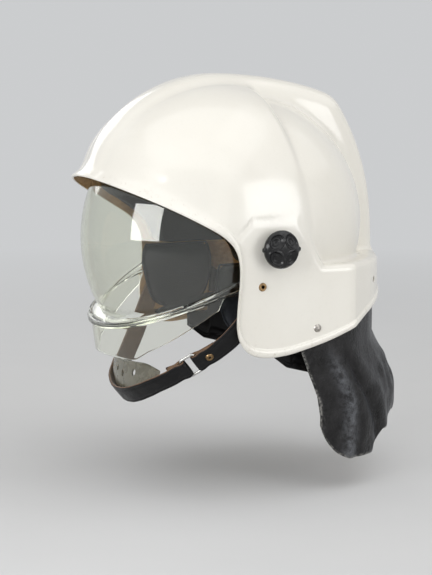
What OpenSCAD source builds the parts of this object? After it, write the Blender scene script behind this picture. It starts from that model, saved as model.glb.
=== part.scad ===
// Fire helmet with a wide crest, a lifting face shield, a chin strap and a leather neck curtain.
// All sizes are in millimetres. The origin lies on the face shield's axis, in the middle of the helmet.
// The wearer looks along -Y, the wearer's left side is +X and up is +Z.

/* [View] */
// Which sub-part to draw

/* [Shell] */
// Radius of the front dome, seen from the side
dome_r = 139.5; // [130:0.5:160]
// Fore and aft place of the front dome's centre
dome_y = -11; // [-25:0.5:0]
// Height of the front dome's centre
dome_z = 6; // [-5:0.5:10]
// How far the dome bulges past the flat cheeks at the axis
dome_bulge = 1.4; // [0.5:0.1:4]
// Squareness of the front dome from side to side
dome_n = 2.3; // [2:0.1:3.2]
// Radius of the rear body, seen from the side
rear_r = 120; // [110:0.5:135]
// Fore and aft place of the rear body's centre
rear_y = 13; // [0:0.5:25]
// Height of the rear body's centre
rear_z = 14.5; // [0:0.5:25]
// How far the rear body stays inside the cheeks' face at the axis
rear_inset = 3.1; // [0:0.1:8]
// Squareness of the rear body from side to side
rear_n = 2.15; // [2:0.05:3.2]
// Thickness of the laminate
wall = 3; // [2:0.1:5]
// Radius of the ball that cuts the dome off behind the crown
step_ball_r = 262.5; // [240:1:280]
// Where the ball's face crosses the crown, behind the axis
step_back_y = 60; // [50:1:70]

/* [Crest] */
// Half width of the crest
crest_hw = 25.5; // [15:0.5:35]
// Depth of the crest's rounded cross section
crest_depth = 26; // [15:0.5:40]
// Squareness of the crest's cross section
crest_n = 2.7; // [2:0.1:4]
// Where the crest starts above the brow, fore and aft
crest_start_y = -137; // [-145:0.1:-125]
// Height of that start
crest_start_z = 66; // [55:0.1:75]
// Slope of the crest line at its start, in degrees
crest_start_a = 68; // [55:1:75]
// Radius and turn of each arc of the crest line, from the brow to the foot at the back
crest_arcs = [[139.3, 69], [400, 13.4], [150, 8], [30, 34], [215, 28], [420, 6]];

/* [Lower band and edges] */
// Diameter of the accessory holes in the slanting corners
corner_hole_d = 4; // [2:0.5:6]
// Half width across the flat cheeks
cheek_hw = 116.6; // [105:0.1:125]
// Height of the flat cheeks' upper end
cheek_top_z = 12; // [5:0.5:20]
// Rear end of the cheeks' upper end
cheek_top_y = 25; // [10:0.5:35]
// Where the ledge starts behind the knob
ledge_start_y = 45; // [30:0.5:60]
// Height of the ledge round the back
ledge_z = -18; // [-30:0.5:-5]
// Where the cheek turns into the slanting rear corner
corner_y = 82; // [70:1:100]
// Half width at the rear end of the slanting corner
corner_hw = 92; // [80:1:105]
// Fore and aft place of the same point
corner_back_y = 111; // [100:1:130]
// Back of the lower band on the centre line
band_back_y = 158; // [140:1:175]
// Height of the rolled rim
rim_h = 6; // [3:0.5:10]
// How far the rolled rim stands proud
rim_proud = 1.6; // [0.5:0.1:3]
// How far the brow lip flares out at the front
lip_flare = 0.5; // [0:0.5:8]
// Thickness of the brow lip
lip_h = 4.5; // [2:0.5:8]
// Lower edge of the shell seen from the side, from the brow tip round the cheek to the back
edge_line = [[-162, 71], [-144, 61.4], [-126, 51.6], [-95, 36.4], [-66, 21.6], [-50, 12.2], [-40, 1.6],
    [-35.2, -12], [-34.8, -32], [-36.8, -56], [-37, -72], [-33.2, -84.5], [-24, -94], [-11, -97.8],
    [6, -97.8],
    [25, -94.6], [54, -87], [79.5, -77.6], [104, -67.5], [130, -58.5], [158, -50]];

/* [Face shield] */
// Radius of the shield about its axis
visor_r = 134; // [118:0.5:138]
// From the cheeks' face in to the outside of the shield's hubs
hub_inset = 9.6; // [8:0.1:14]
// Squareness of the shield from side to side
visor_n = 2.2; // [2:0.1:3]
// Thickness of the clear sheet
visor_t = 2.8; // [1.5:0.1:4]
// Drop of the moulded bead per millimetre forward
bead_slope = 0.47; // [0.3:0.01:0.6]
// Height of the bead's upper edge where it meets the axis
bead_z = -16; // [-25:0.5:-10]
// Height of the bead
bead_h = 9; // [5:0.5:14]
// How far the bead stands proud
bead_proud = 8; // [1:0.5:10]
// How far the skirt stands back from the sheet at the front
skirt_back = 9.5; // [6:0.5:14]
// How far the skirt stands in from the hubs at the sides
skirt_in = 6; // [3:0.5:10]
// Lowest point of the skirt at the front
skirt_bottom_z = -105; // [-120:1:-90]
// Backward lean of the skirt towards its lower edge, in degrees
skirt_lean = 7.5; // [0:0.5:12]
// Angle of the shield's hidden upper edge above level, in degrees
visor_top_a = 40; // [34:1:50]
// Radius of the round hub at each pivot
hub_r = 23; // [16:0.5:30]

/* [Knob and pivot] */
// Diameter of the knob
knob_d = 34.5; // [28:0.5:44]
// Height of the knob
knob_h = 14.5; // [10:0.5:22]
// Diameter of the knob's shaft
shaft_d = 13; // [8:0.5:18]
// Clearance of the shaft in its bush, on the diameter
shaft_gap = 0.3; // [0.1:0.05:0.6]
// Side of the square drive at the shaft's end
drive_side = 8; // [5:0.5:9]
// Clearance of the square drive in the shield's hub, over the side
drive_gap = 0.2; // [0.1:0.05:0.5]
// Outer diameter of the bush where it passes the shell
bush_d = 18; // [14:0.5:24]
// Diameter of the bush's inner spacer flange
bush_flange_d = 34; // [24:0.5:40]
// Thread diameter of the knob screw
screw_d = 5; // [3:0.5:6]

/* [Lining] */
// Half width of the space for the head
head_hw = 82.5; // [74:0.5:88]
// Half length of the space for the head
head_hl = 104.5; // [95:0.5:112]
// Height of the space for the head above the axis
head_top_z = 119; // [110:0.5:125]
// How far behind the axis the head is centred
head_y = 4; // [0:0.5:12]
// Space for the lifted shield outside the foam cap
liner_space = 9; // [7:0.5:14]
// Gap between the foam cap and the shell's inside
liner_gap = 0.5; // [0.2:0.1:2]
// Height of the foam cap's lower edge at the sides
liner_low_z = -14; // [-20:0.5:-8]
// Thickness of the soft layers against the head
soft_t = 2.4; // [1:0.1:4]
// Inner face of the cheek pads, from the middle
pad_in_x = 79.5; // [70:0.5:86]
// Outer face of the cheek pads, from the middle
pad_out_x = 93; // [88:0.5:98]

/* [Chin strap] */
// Width of the strap
strap_w = 18.5; // [15:0.5:24]
// Thickness of the strap leather
strap_t = 2.6; // [1.5:0.1:4]
// Fore and aft place of the strap rivet
strap_rivet_y = -13.5; // [-20:0.5:0]
// Height of the strap rivet
strap_rivet_z = -34; // [-45:0.5:-25]
// Outer diameter of the hollow rivet's head
strap_rivet_d = 8.5; // [6:0.5:12]
// Diameter of the hollow rivet's shank
strap_shank_d = 6; // [4:0.5:8]
// Gap between the strap's edges and the buckle's long bars
buckle_gap = 0.3; // [0.1:0.1:1]
// Distance between the buckle's two cross bars
buckle_l = 13.4; // [10:0.2:18]
// Length of strap folded back behind the buckle's rear bar
fold_l = 22; // [16:1:30]
// Thickness of the chin cup
cup_t = 2; // [1.2:0.1:3]
// Wire thickness of the buckle frame
buckle_wire = 2.6; // [1.6:0.1:3.6]
// Diameter of the loop rivet
loop_rivet_d = 8; // [5:0.5:10]

/* [Neck curtain] */
// Thickness of the curtain leather
curtain_t = 2.2; // [1.2:0.1:4]
// Lowest edge of the curtain
curtain_bottom_z = -203.5; // [-240:1:-150]
// How far the curtain bellies out at the back
curtain_flare = 24; // [0:1:30]
// How much higher the foot hangs behind the fold at the rear corner
curtain_rise = 26; // [0:1:40]
// Diameter of the curtain rivets
curtain_rivet_d = 7.5; // [5:0.5:10]
// Fore and aft place of the side curtain rivets
curtain_rivet_y = 42.5; // [30:0.5:60]
// Height of the side curtain rivets
curtain_rivet_z = -75; // [-85:0.5:-65]

/* [Hidden] */
round_fn = 96;
small_fn = 40;
steps = 12;
crest_lap = 0.8;
crest_step = 0.03;
dome_hw = cheek_hw + dome_bulge;
rear_hw = cheek_hw - rear_inset;
step_ball_y = step_ball_r - step_back_y;
visor_hw = cheek_hw - hub_inset;
skirt_r = visor_r - skirt_back;
skirt_hw = visor_hw - skirt_in;
liner_front_r = visor_r - liner_space;
liner_hw = visor_hw - liner_space;
knob_base_x = dome_hw + 1.8;
bush_seat_x = cheek_hw - wall - 0.2;
hub_out_x = visor_hw;
strap_out_x = cheek_hw - wall - 0.4;
strap_mid_x = strap_out_x - strap_t / 2;
curtain_back_z = -40;
hub_in_x = visor_hw - visor_t;
pivot_y = 0;
keep_far = 260;

// Points of one half of a superellipse, from the rim (r, 0) to the pole (0, w)
function half_oval(r, w, n, k) = [for (i = [0:k]) i == k ? [0, w] :
    [r * pow(cos(90 * i / k), 2 / n), w * pow(sin(90 * i / k), 2 / n)]];

// Closed profile for a solid turned about the helmet's cross axis
function turned_profile(r, w, n, k) = let (h = half_oval(r, w, n, k))
    concat([for (i = [k:-1:0]) [h[i][0], -h[i][1]]], [for (i = [1:k]) h[i]]);

// Smooth curve through a row of points, m steps to each gap
function curve(p, m) = let (n = len(p) - 1) concat([for (i = [0:n - 1]) for (j = [0:m - 1])
    let (t = j / m, a = p[max(i - 1, 0)], b = p[i], c = p[i + 1], d = p[min(i + 2, n)])
    (2 * b + (c - a) * t + (2 * a - 5 * b + 4 * c - d) * t * t + (3 * b - a - 3 * c + d) * t * t * t) / 2],
    [p[n]]);

function unit(v) = v / norm(v);

// Row of points moved sideways by d, to the left of its direction of travel
function beside(p, d) = let (n = len(p) - 1) [for (i = [0:n])
    let (a = unit(p[i] - p[max(i - 1, 0)] + (i == 0 ? p[1] - p[0] : [0, 0])),
         b = unit(p[min(i + 1, n)] - p[i] + (i == n ? p[n] - p[n - 1] : [0, 0])),
         m = unit(a + b))
    p[i] + d / max(0.5, m * b) * [-m[1], m[0]]];

// Draws a side view outline, fore and aft by height, right through the helmet
module through(pts, half = keep_far) {
    rotate([90, 0, 90]) linear_extrude(height = 2 * half, center = true) polygon(pts);
}

// Solid turned about the cross axis
module turned(r, w, n) {
    rotate([0, 90, 0]) rotate_extrude($fn = round_fn) polygon(turned_profile(r, w, n, steps));
}

// Rear half of the lower band's plan on the wearer's left, from the cheek to the centre line
band_half = concat([[cheek_hw, -150], [cheek_hw, corner_y - 6], [cheek_hw - 0.8, corner_y]],
    curve([[corner_hw, corner_back_y], [78, 124.5], [58, 138], [38, 147.5], [18, band_back_y - 1.5],
        [0, band_back_y]], 2));

function band_plan(o) = let (h = beside(band_half, -o)) concat([for (p = h) if (p[0] > 0.01) p],
    [[0, band_back_y + o]], [for (i = [len(h) - 1:-1:0]) if (h[i][0] > 0.01) [-h[i][0], h[i][1]]]);

edge_curve = curve(edge_line, 2);
rim_curve = beside(edge_curve, rim_h);
edge_last = edge_curve[len(edge_curve) - 1];

// Side view of all that lies inside the shell's lower edge
keep_outline = concat([[-keep_far, edge_line[0][1] + (keep_far + edge_line[0][0]) * 0.54]], edge_curve,
    [[keep_far, edge_last[1] + (keep_far - edge_last[0]) * 0.34], [keep_far, keep_far],
        [-keep_far, keep_far]]);

// Side view of the strip along the lower edge
rim_outline = concat(edge_curve, [for (i = [len(rim_curve) - 1:-1:0]) rim_curve[i]]);

// Cross section of the crest: an upturned trough, its crown at radius r from the arc's centre
function crest_section(r, o) = concat(
    [for (i = [0:10]) let (a = 90 * i / 10)
        [r + o - crest_depth * (1 - pow(cos(a), 2 / crest_n)),
         (crest_hw + o) * (i == 10 ? 1 : pow(sin(a), 2 / crest_n))]],
    [[r + o - crest_depth - min(r - crest_depth, 12) + 4, crest_hw + o]],
    [[r + o - crest_depth - min(r - crest_depth, 12) + 4, -crest_hw - o]],
    [for (i = [10:-1:1]) let (a = 90 * i / 10)
        [r + o - crest_depth * (1 - pow(cos(a), 2 / crest_n)),
         -(crest_hw + o) * (i == 10 ? 1 : pow(sin(a), 2 / crest_n))]]);

// One arc of the crest line after another, each starting where the last one ends and lapping it a little
module crest_run(o, i, y, z, a) {
    if (i < len(crest_arcs)) {
        r = crest_arcs[i][0];
        turn = crest_arcs[i][1];
        cy = y + r * sin(a);
        cz = z - r * cos(a);
        lap = crest_lap / r * 180 / PI;
        translate([0, cy, cz]) rotate([0, 90, 0]) rotate([0, 0, 180 + a - turn - lap])
            rotate_extrude(angle = turn + 2 * lap, $fn = round_fn)
                polygon(crest_section(r, o - crest_step * (i % 3)));
        b = a - turn;
        crest_run(o, i + 1, cy - r * sin(b), cz + r * cos(b), b);
    }
}

// All of the shell's outside, grown by o or shrunk where o is below zero
module body(o) {
    intersection() {
        translate([0, dome_y, dome_z]) turned(dome_r + o, dome_hw + o, dome_n);
        translate([0, -step_ball_y, 0]) sphere(r = step_ball_r + o, $fn = round_fn);
    }
    translate([0, rear_y, rear_z]) turned(rear_r + o, rear_hw + o, rear_n);
    crest_run(o, 0, crest_start_y, crest_start_z, crest_start_a);
    translate([0, 0, -150]) linear_extrude(height = 150 + ledge_z + o) polygon(band_plan(o));
    through([[-60, ledge_z - 4], [-60, cheek_top_z + o], [cheek_top_y + o, cheek_top_z + o],
        [ledge_start_y + o, ledge_z + o], [ledge_start_y + o, ledge_z - 4]], cheek_hw + o);
}

// Bores straight across the helmet at one fore and aft place and height
module across(y, z, d, fn = small_fn) {
    translate([0, y, z]) rotate([0, 90, 0]) cylinder(d = d, h = 2 * keep_far, center = true, $fn = fn);
}

corner_hole_at = [80, 119.5, -38.5];
brow_curve = [for (p = edge_curve) if (p[0] < -58) p];
brow_back = beside(brow_curve, lip_h);
lip_outline = concat(brow_curve, [for (i = [len(brow_back) - 1:-1:0]) brow_back[i]]);

// White laminate shell with its rolled rim, brow lip and bores
module shell() {
    color("ivory") difference() {
        intersection() {
            union() {
                body(0);
                intersection() {
                    body(rim_proud);
                    through(rim_outline);
                }
                intersection() {
                    translate([0, dome_y, dome_z])
                        turned(dome_r + lip_flare, dome_hw + rim_proud, dome_n);
                    through(lip_outline);
                }
            }
            through(keep_outline);
        }
        body(-wall);
        across(pivot_y, 0, bush_d);
        across(strap_rivet_y, strap_rivet_z, strap_shank_d);
        across(curtain_rivet_y, curtain_rivet_z, curtain_rivet_d / 2);
        both() translate(corner_hole_at) rotate([0, 0, 40]) rotate([0, 90, 0])
            cylinder(d = corner_hole_d, h = 30, center = true, $fn = small_fn);
        translate([0, band_back_y, curtain_back_z]) rotate([90, 0, 0])
            cylinder(d = curtain_rivet_d / 2, h = 30, center = true, $fn = small_fn);
    }
}

// Both halves of something made on the wearer's left
module both() {
    children();
    mirror([1, 0, 0]) children();
}

// Egg-shaped space for the head, grown by o
module head_egg(o) {
    translate([0, head_y, 0]) scale([head_hw + o, head_hl + o, head_top_z + o]) sphere(r = 1, $fn = round_fn);
}

// Foam cap: thin in front where the lifted shield passes outside it, thick behind
liner_line = [[-150, 70], [-96, 42], [-60, 23], [-44, 12], [-33, -4], [-31, liner_low_z],
    [150, liner_low_z], [150, 160], [-150, 160]];

module impact_liner() {
    color("dimgray") difference() {
        intersection() {
            union() {
                turned(liner_front_r, liner_hw, visor_n);
                intersection() {
                    translate([0, rear_y, rear_z])
                        turned(rear_r - wall - liner_gap, rear_hw - wall - liner_gap, rear_n);
                    through([[30, -60], [30, 160], [180, 160], [180, -60]]);
                }
            }
            through(liner_line);
        }
        head_egg(0);
    }
}

// Quilted crown pad against the top of the head
module crown_pad() {
    color("slategray") intersection() {
        difference() {
            head_egg(-0.2);
            head_egg(-0.2 - soft_t);
        }
        through([[-75, 72], [150, 72], [150, 160], [-75, 160]]);
    }
}

// Leather sweatband across the forehead and round the sides
module sweatband() {
    color("saddlebrown") intersection() {
        difference() {
            head_egg(-0.2);
            head_egg(-0.2 - soft_t);
        }
        through([[-150, 44], [40, 30], [40, 64], [-150, 70]]);
    }
}

// Leather band round the nape, below the back of the shell
nape_path = curve([[pad_out_x - 0.4, 30.4], [pad_out_x - 0.4, 50], [pad_out_x - 3, 78], [72, 104], [40, 120],
    [0, 126]], 3);

module nape_band() {
    outer = concat(nape_path, [for (i = [len(nape_path) - 2:-1:0]) [-nape_path[i][0], nape_path[i][1]]]);
    inner = beside(outer, soft_t);
    color("black") intersection() {
        translate([0, 0, -140]) linear_extrude(height = 130)
            polygon(concat(outer, [for (i = [len(inner) - 1:-1:0]) inner[i]]));
        through([[28, -70], [60, -108], [150, -106], [150, -66], [60, -62], [28, -34]]);
    }
}

// Padded cheek and ear cushion with the block that carries it off the shell
module cheek_pad() {
    color("darkslategray") {
        intersection() {
            translate([pad_in_x, -80, -90]) cube([pad_out_x - pad_in_x, 140, 90 + liner_low_z - 0.4]);
            through(curve([[-46, -34], [-44, -20], [-34, -12], [14, -12], [26, -18], [30, -40], [20, -70],
                [-6, -80], [-34, -72], [-46, -34]], 3));
        }
        intersection() {
            translate([pad_out_x, -30, -90]) cube([cheek_hw - wall - 0.3 - pad_out_x, 100, 75]);
            through(curve([[9.5, -hub_r - 4], [15.5, -hub_r + 2], [24, -20], [32, -30], [32, -52], [24, -64],
                [12, -64], [8, -50], [9.5, -hub_r - 4]], 3));
        }
    }
}

module cheek_pad_left() {
    cheek_pad();
}

module cheek_pad_right() {
    mirror([1, 0, 0]) cheek_pad();
}

// Nylon bush: barrel through the shell, flange outside under the knob, spacer inside
module pivot_bush() {
    color("dimgray") rotate([0, 90, 0]) difference() {
        union() {
            translate([0, 0, hub_out_x + 0.4])
                cylinder(d = bush_flange_d, h = bush_seat_x - hub_out_x - 0.4, $fn = small_fn);
            translate([0, 0, bush_seat_x - 0.1])
                cylinder(d = bush_d - 0.2, h = dome_hw + 0.4 - bush_seat_x, $fn = small_fn);
            translate([0, 0, dome_hw + 0.2]) cylinder(d = bush_d + 6, h = 1.2, $fn = small_fn);
        }
        translate([0, 0, hub_out_x - 5]) cylinder(d = shaft_d + shaft_gap, h = 30, $fn = small_fn);
    }
}

module pivot_bush_left() {
    pivot_bush();
}

module pivot_bush_right() {
    mirror([1, 0, 0]) pivot_bush();
}

// Hollow rivets that hold the ends of the chin strap
module strap_rivets() {
    color("goldenrod") both() translate([0, strap_rivet_y, strap_rivet_z]) rotate([0, 90, 0]) difference() {
        union() {
            translate([0, 0, cheek_hw]) cylinder(d1 = strap_rivet_d, d2 = strap_rivet_d - 1.6, h = 1.3,
                $fn = small_fn);
            translate([0, 0, strap_out_x - strap_t - 1.6])
                cylinder(d = strap_shank_d - 0.2, h = cheek_hw - strap_out_x + strap_t + 1.8, $fn = small_fn);
        }
        translate([0, 0, 90]) cylinder(d = strap_shank_d - 2.6, h = 40, $fn = small_fn);
    }
}

// Washers under those rivets, inside the strap
module strap_washers() {
    color("darkgoldenrod") both() translate([strap_out_x - strap_t - 1, strap_rivet_y, strap_rivet_z])
        rotate([0, 90, 0]) washer(strap_rivet_d + 2, strap_shank_d, 0.8);
}

// Domed steel rivet, head towards +Z, grip g below the head
module dome_rivet(d, g) {
    intersection() {
        translate([0, 0, -d * 0.35]) sphere(d = d * 1.22, $fn = small_fn);
        cylinder(d = d, h = d, $fn = small_fn);
    }
    translate([0, 0, -g]) cylinder(d = d / 2 - 0.2, h = g + 0.1, $fn = small_fn);
}

// Steel rivets through the shell and the neck curtain
module curtain_rivets() {
    color("silver") {
        both() translate([cheek_hw, curtain_rivet_y, curtain_rivet_z]) rotate([0, 90, 0])
            dome_rivet(curtain_rivet_d, wall + curtain_t + 1.6);
        translate([0, band_back_y, curtain_back_z]) rotate([-90, 0, 0])
            dome_rivet(curtain_rivet_d, wall + curtain_t + 1.6);
    }
}

// Washers that clamp the curtain on those rivets
module curtain_washers() {
    color("darkgray") {
        both() translate([cheek_hw - wall - curtain_t - 1.2, curtain_rivet_y, curtain_rivet_z])
            rotate([0, 90, 0]) washer(curtain_rivet_d + 3, curtain_rivet_d / 2, 0.8);
        translate([0, band_back_y - wall - curtain_t - 1.2, curtain_back_z]) rotate([-90, 0, 0])
            washer(curtain_rivet_d + 3, curtain_rivet_d / 2, 0.8);
    }
}

module washer(d, bore, h) {
    difference() {
        cylinder(d = d, h = h, $fn = small_fn);
        translate([0, 0, -1]) cylinder(d = bore, h = h + 2, $fn = small_fn);
    }
}

// Closed skin over a grid of points: rows of equal length, front sheet then back sheet
module sheet_solid(front, back) {
    m = len(front);
    n = len(front[0]);
    pts = concat([for (r = front) each r], [for (r = back) each r]);
    function at(s, i, j) = s * m * n + i * n + j;
    function quad(a, b, c, d) = [[a, b, c], [a, c, d]];
    faces = concat(
        [for (i = [0:m - 2]) for (j = [0:n - 2])
            each quad(at(0, i, j), at(0, i + 1, j), at(0, i + 1, j + 1), at(0, i, j + 1))],
        [for (i = [0:m - 2]) for (j = [0:n - 2])
            each quad(at(1, i, j), at(1, i, j + 1), at(1, i + 1, j + 1), at(1, i + 1, j))],
        [for (i = [0:m - 2]) each quad(at(0, i, 0), at(1, i, 0), at(1, i + 1, 0), at(0, i + 1, 0))],
        [for (i = [0:m - 2])
            each quad(at(0, i, n - 1), at(0, i + 1, n - 1), at(1, i + 1, n - 1), at(1, i, n - 1))],
        [for (j = [0:n - 2]) each quad(at(0, 0, j), at(0, 0, j + 1), at(1, 0, j + 1), at(1, 0, j))],
        [for (j = [0:n - 2])
            each quad(at(0, m - 1, j), at(1, m - 1, j), at(1, m - 1, j + 1), at(0, m - 1, j + 1))]);
    polyhedron(points = pts, faces = faces, convexity = 6);
}

// Neck curtain: top line inside the shell, foot line swung out behind
curtain_top = curve([[cheek_hw - wall - 0.4, 33], [cheek_hw - wall - 0.4, 58], [cheek_hw - wall - 3, 80],
    [corner_hw - 2.5, corner_back_y - 3.5], [74.5, 120.5], [56, 132.8], [36, 142.6], [17, 152.6],
    [0, band_back_y - wall - 0.4]], 3);
curtain_drop = [0, 0.12, 0.26, 0.4, 0.55, 0.7, 0.85, 1];

// How far the curtain hangs outside its top line at height z
function belly(z) = curtain_flare * pow(sin(min(max((-z - 92) / 112, 0), 1) * 128), 1.3);

module neck_curtain() {
    n = len(curtain_top) - 1;
    far = floor(n * 0.8);
    m = 2 * n - far;
    whole = [for (i = [0:m]) let (k = i > n ? 2 * n - i : i, p = curtain_top[k], side = i > n ? -1 : 1,
        near = max(0, 1 - i / m / 0.14), late = max(0, (i / m - 0.8) / 0.2),
        top = -52 - 14 * max(0, 1 - k / n * 2.2),
        risen = curtain_rise * min(1, max(0, (i / m - 0.2) / 0.13)),
        foot = curtain_bottom_z + 34 * near * near + risen + 34 * late * late)
        [for (t = curtain_drop) let (z = top + (foot - top) * t, u = k / n,
            lead = 22 * pow(1 - u, 2) * min(1, max(0, (-z - 96) / 50)), out = belly(z) * min(1, u * 1.6))
        [side * p[0] * (1 - 0.1 * (1 - u) * max(0, (-z - 96) / 110)), p[1] + lead + out, z]]];
    back = [for (r = whole) [for (q = r) let (v = [q[0] * 0.9, q[1] - 20]) [q[0] - curtain_t * v[0] / norm(v),
        q[1] - curtain_t * v[1] / norm(v), q[2]]]];
    color("darkslategray") difference() {
        sheet_solid(whole, back);
        translate([80, curtain_rivet_y, curtain_rivet_z]) rotate([0, 90, 0])
            cylinder(d = curtain_rivet_d / 2, h = 60, $fn = small_fn);
        translate([0, 120, curtain_back_z]) rotate([-90, 0, 0])
            cylinder(d = curtain_rivet_d / 2, h = 60, $fn = small_fn);
    }
}

// Side view of the clear shield between its hidden upper edge and the bead
visor_outline = [[-6, bead_z - bead_h], [-150, bead_z - bead_h - bead_slope * 150], [-175, 0],
    [-150, 150 * tan(visor_top_a) + 14], [-2, 16]];
bead_outline = [[-24, bead_z - bead_h - bead_slope * 24], [-160, bead_z - bead_h - bead_slope * 160],
    [-160, bead_z - bead_slope * 160], [-24, bead_z - bead_slope * 24]];
bead_low_z = -66;
skirt_outline = [[-42.5, -44], [-42.5, -48], [-47.5, -56], [-66, -69], [-92, -87], [-104, -95.5],
    [-112, skirt_bottom_z + 1], [-130, skirt_bottom_z], [-132, -66], [-42, -30]];

function oval_plan(w, l) = [for (i = [0:47]) let (a = i * 7.5)
    [w * sign(cos(a)) * pow(abs(cos(a)), 2 / visor_n), l * sign(sin(a)) * pow(abs(sin(a)), 2 / visor_n)]];

// Clear face shield in one moulding: sheet, proud bead, skirt and two pivot hubs
module visor() {
    color("lightyellow", 0.5) difference() {
        union() {
            intersection() {
                difference() {
                    turned(visor_r, visor_hw, visor_n);
                    turned(visor_r - visor_t, visor_hw - visor_t, visor_n);
                }
                union() {
                    through(visor_outline);
                    across(0, 0, 2 * hub_r, round_fn);
                }
            }
            intersection() {
                difference() {
                    turned(visor_r + bead_proud, visor_hw + 0.8, visor_n);
                    turned(visor_r - visor_t, visor_hw - visor_t, visor_n);
                }
                through(bead_outline);
            }
            intersection() {
                translate([0, 0, bead_low_z]) rotate([skirt_lean, 0, 0])
                    linear_extrude(height = 150, center = true) difference() {
                        polygon(oval_plan(skirt_hw, skirt_r));
                        polygon(oval_plan(skirt_hw - visor_t, skirt_r - visor_t));
                    }
                through(skirt_outline);
            }
        }
        across(0, 0, screw_d + 0.4);
        both() translate([hub_in_x + 1, -(drive_side + drive_gap) / 2, -(drive_side + drive_gap) / 2])
            cube([10, drive_side + drive_gap, drive_side + drive_gap]);
    }
}

// Domed knob with four finger hollows, two lugs, a round shaft and a square drive
module knob() {
    color("black") rotate([0, 90, 0]) difference() {
        union() {
            difference() {
                translate([0, 0, knob_base_x]) rotate_extrude($fn = round_fn)
                    polygon(concat([[0, 0], [knob_d / 2 - 0.8, 0], [knob_d / 2, 0.8]],
                        [for (i = [0:8]) let (a = 11.25 * i)
                            [knob_d / 2 * pow(cos(a), 0.7) * (i == 8 ? 0 : 1), 4 + (knob_h - 4) * sin(a)]]));
                for (k = [45:90:315]) rotate([0, 0, k])
                    translate([knob_d * 0.47, 0, knob_base_x + knob_h + 1]) sphere(r = 9, $fn = small_fn);
            }
            for (k = [90, 270]) rotate([0, 0, k]) translate([knob_d / 2 - 1, -1.7, knob_base_x + 2])
                cube([2.4, 3.4, 4.5]);
            translate([0, 0, hub_out_x + 0.1])
                cylinder(d = shaft_d, h = knob_base_x - hub_out_x, $fn = small_fn);
            translate([-drive_side / 2, -drive_side / 2, hub_in_x + 1.2])
                cube([drive_side, drive_side, visor_t]);
        }
        translate([0, 0, hub_in_x - 5]) cylinder(d = screw_d - 0.4, h = 15, $fn = small_fn);
    }
}

module knob_left() {
    knob();
}

module knob_right() {
    mirror([1, 0, 0]) knob();
}

// Dished spring washers between the screw heads and the shield's hubs
module spring_washers() {
    color("silver") both() rotate([0, 90, 0]) difference() {
        translate([0, 0, hub_in_x - 1.7]) cylinder(d1 = 12, d2 = 15, h = 1.2, $fn = small_fn);
        translate([0, 0, hub_in_x - 5]) cylinder(d = screw_d + 0.5, h = 10, $fn = small_fn);
    }
}

// Screws from the inside that draw the knobs against the shield
module knob_screws() {
    color("gray") both() rotate([0, 90, 0]) difference() {
        union() {
            translate([0, 0, hub_in_x - 4.2]) cylinder(d = 9, h = 2.4, $fn = small_fn);
            translate([0, 0, hub_in_x - 2.5]) cylinder(d = screw_d - 0.4, h = 12, $fn = small_fn);
        }
        translate([-6, -0.6, hub_in_x - 5]) cube([12, 1.2, 1.8]);
    }
}

// Strip of leather along a centre line: rows of [place, direction from the lower to the upper edge]
module strap_solid(rows, w, t) {
    n = len(rows) - 1;
    function along(i) = unit(rows[min(i + 1, n)][0] - rows[max(i - 1, 0)][0]);
    function out(i) = unit(cross(rows[i][1], along(i)));
    function up(i) = cross(along(i), out(i));
    function edge(i, side, face) = rows[i][0] + up(i) * side * w / 2 + out(i) * face * t / 2;
    sheet_solid([for (i = [0:n]) [edge(i, 1, -1), edge(i, -1, -1)]],
        [for (i = [0:n]) [edge(i, 1, 1), edge(i, -1, 1)]]);
}

// Curve through a strap's rows, places and directions alike
function strap_curve(rows, m) = let (p = curve([for (r = rows) r[0]], m), d = curve([for (r = rows) r[1]], m))
    [for (i = [0:len(p) - 1]) [p[i], d[i]]];

// The buckle's own directions: along the strap towards the chin, up across it, and out of it
buckle_at = [86, -69, -105.5];
buckle_along = unit([-0.42, -0.75, -0.51]);
buckle_out = unit(cross([0.3, -0.6, 0.74], buckle_along));
buckle_up = cross(buckle_along, buckle_out);
wrap_r = buckle_wire / 2 + strap_t / 2 + 0.1;
layer = strap_t / 2 + 0.05;

function at_buckle(a, o) = buckle_at + buckle_along * a + buckle_out * o;

// Half turn of strap round a cross bar that lies at a, with the turn's crown towards side
function bar_wrap(a, side) = [for (k = [90:-30:-90])
    [at_buckle(a + side * wrap_r * cos(k), wrap_r * sin(k)), buckle_up]];

side_top = [[[strap_mid_x, -11.8, -22], [0, -0.99, 0.1]],
    [[strap_mid_x, strap_rivet_y, strap_rivet_z], [0, -0.98, 0.17]],
    [[strap_mid_x, -16.5, -46], [0, -0.95, 0.3]], [[strap_mid_x - 0.5, -22, -58], [0, -0.87, 0.5]],
    [[strap_mid_x - 2.4, -30.5, -70], [0.05, -0.78, 0.62]], [[104.8, -40, -82], [0.12, -0.68, 0.72]],
    [[98.5, -49, -91.5], [0.22, -0.62, 0.75]], [at_buckle(-14, layer), buckle_up]];

// Left strap from its rivet down to the buckle's rear bar and back on itself
module side_strap() {
    bar = -buckle_l / 2;
    color("black") difference() {
        strap_solid(concat(strap_curve(side_top, 3), [[at_buckle(bar - 6, layer), buckle_up]],
            bar_wrap(bar, 1), [for (a = [6, fold_l / 2, fold_l]) [at_buckle(bar - a, -layer), buckle_up]]),
            strap_w, strap_t);
        across(strap_rivet_y, strap_rivet_z, strap_shank_d);
    }
}

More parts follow.
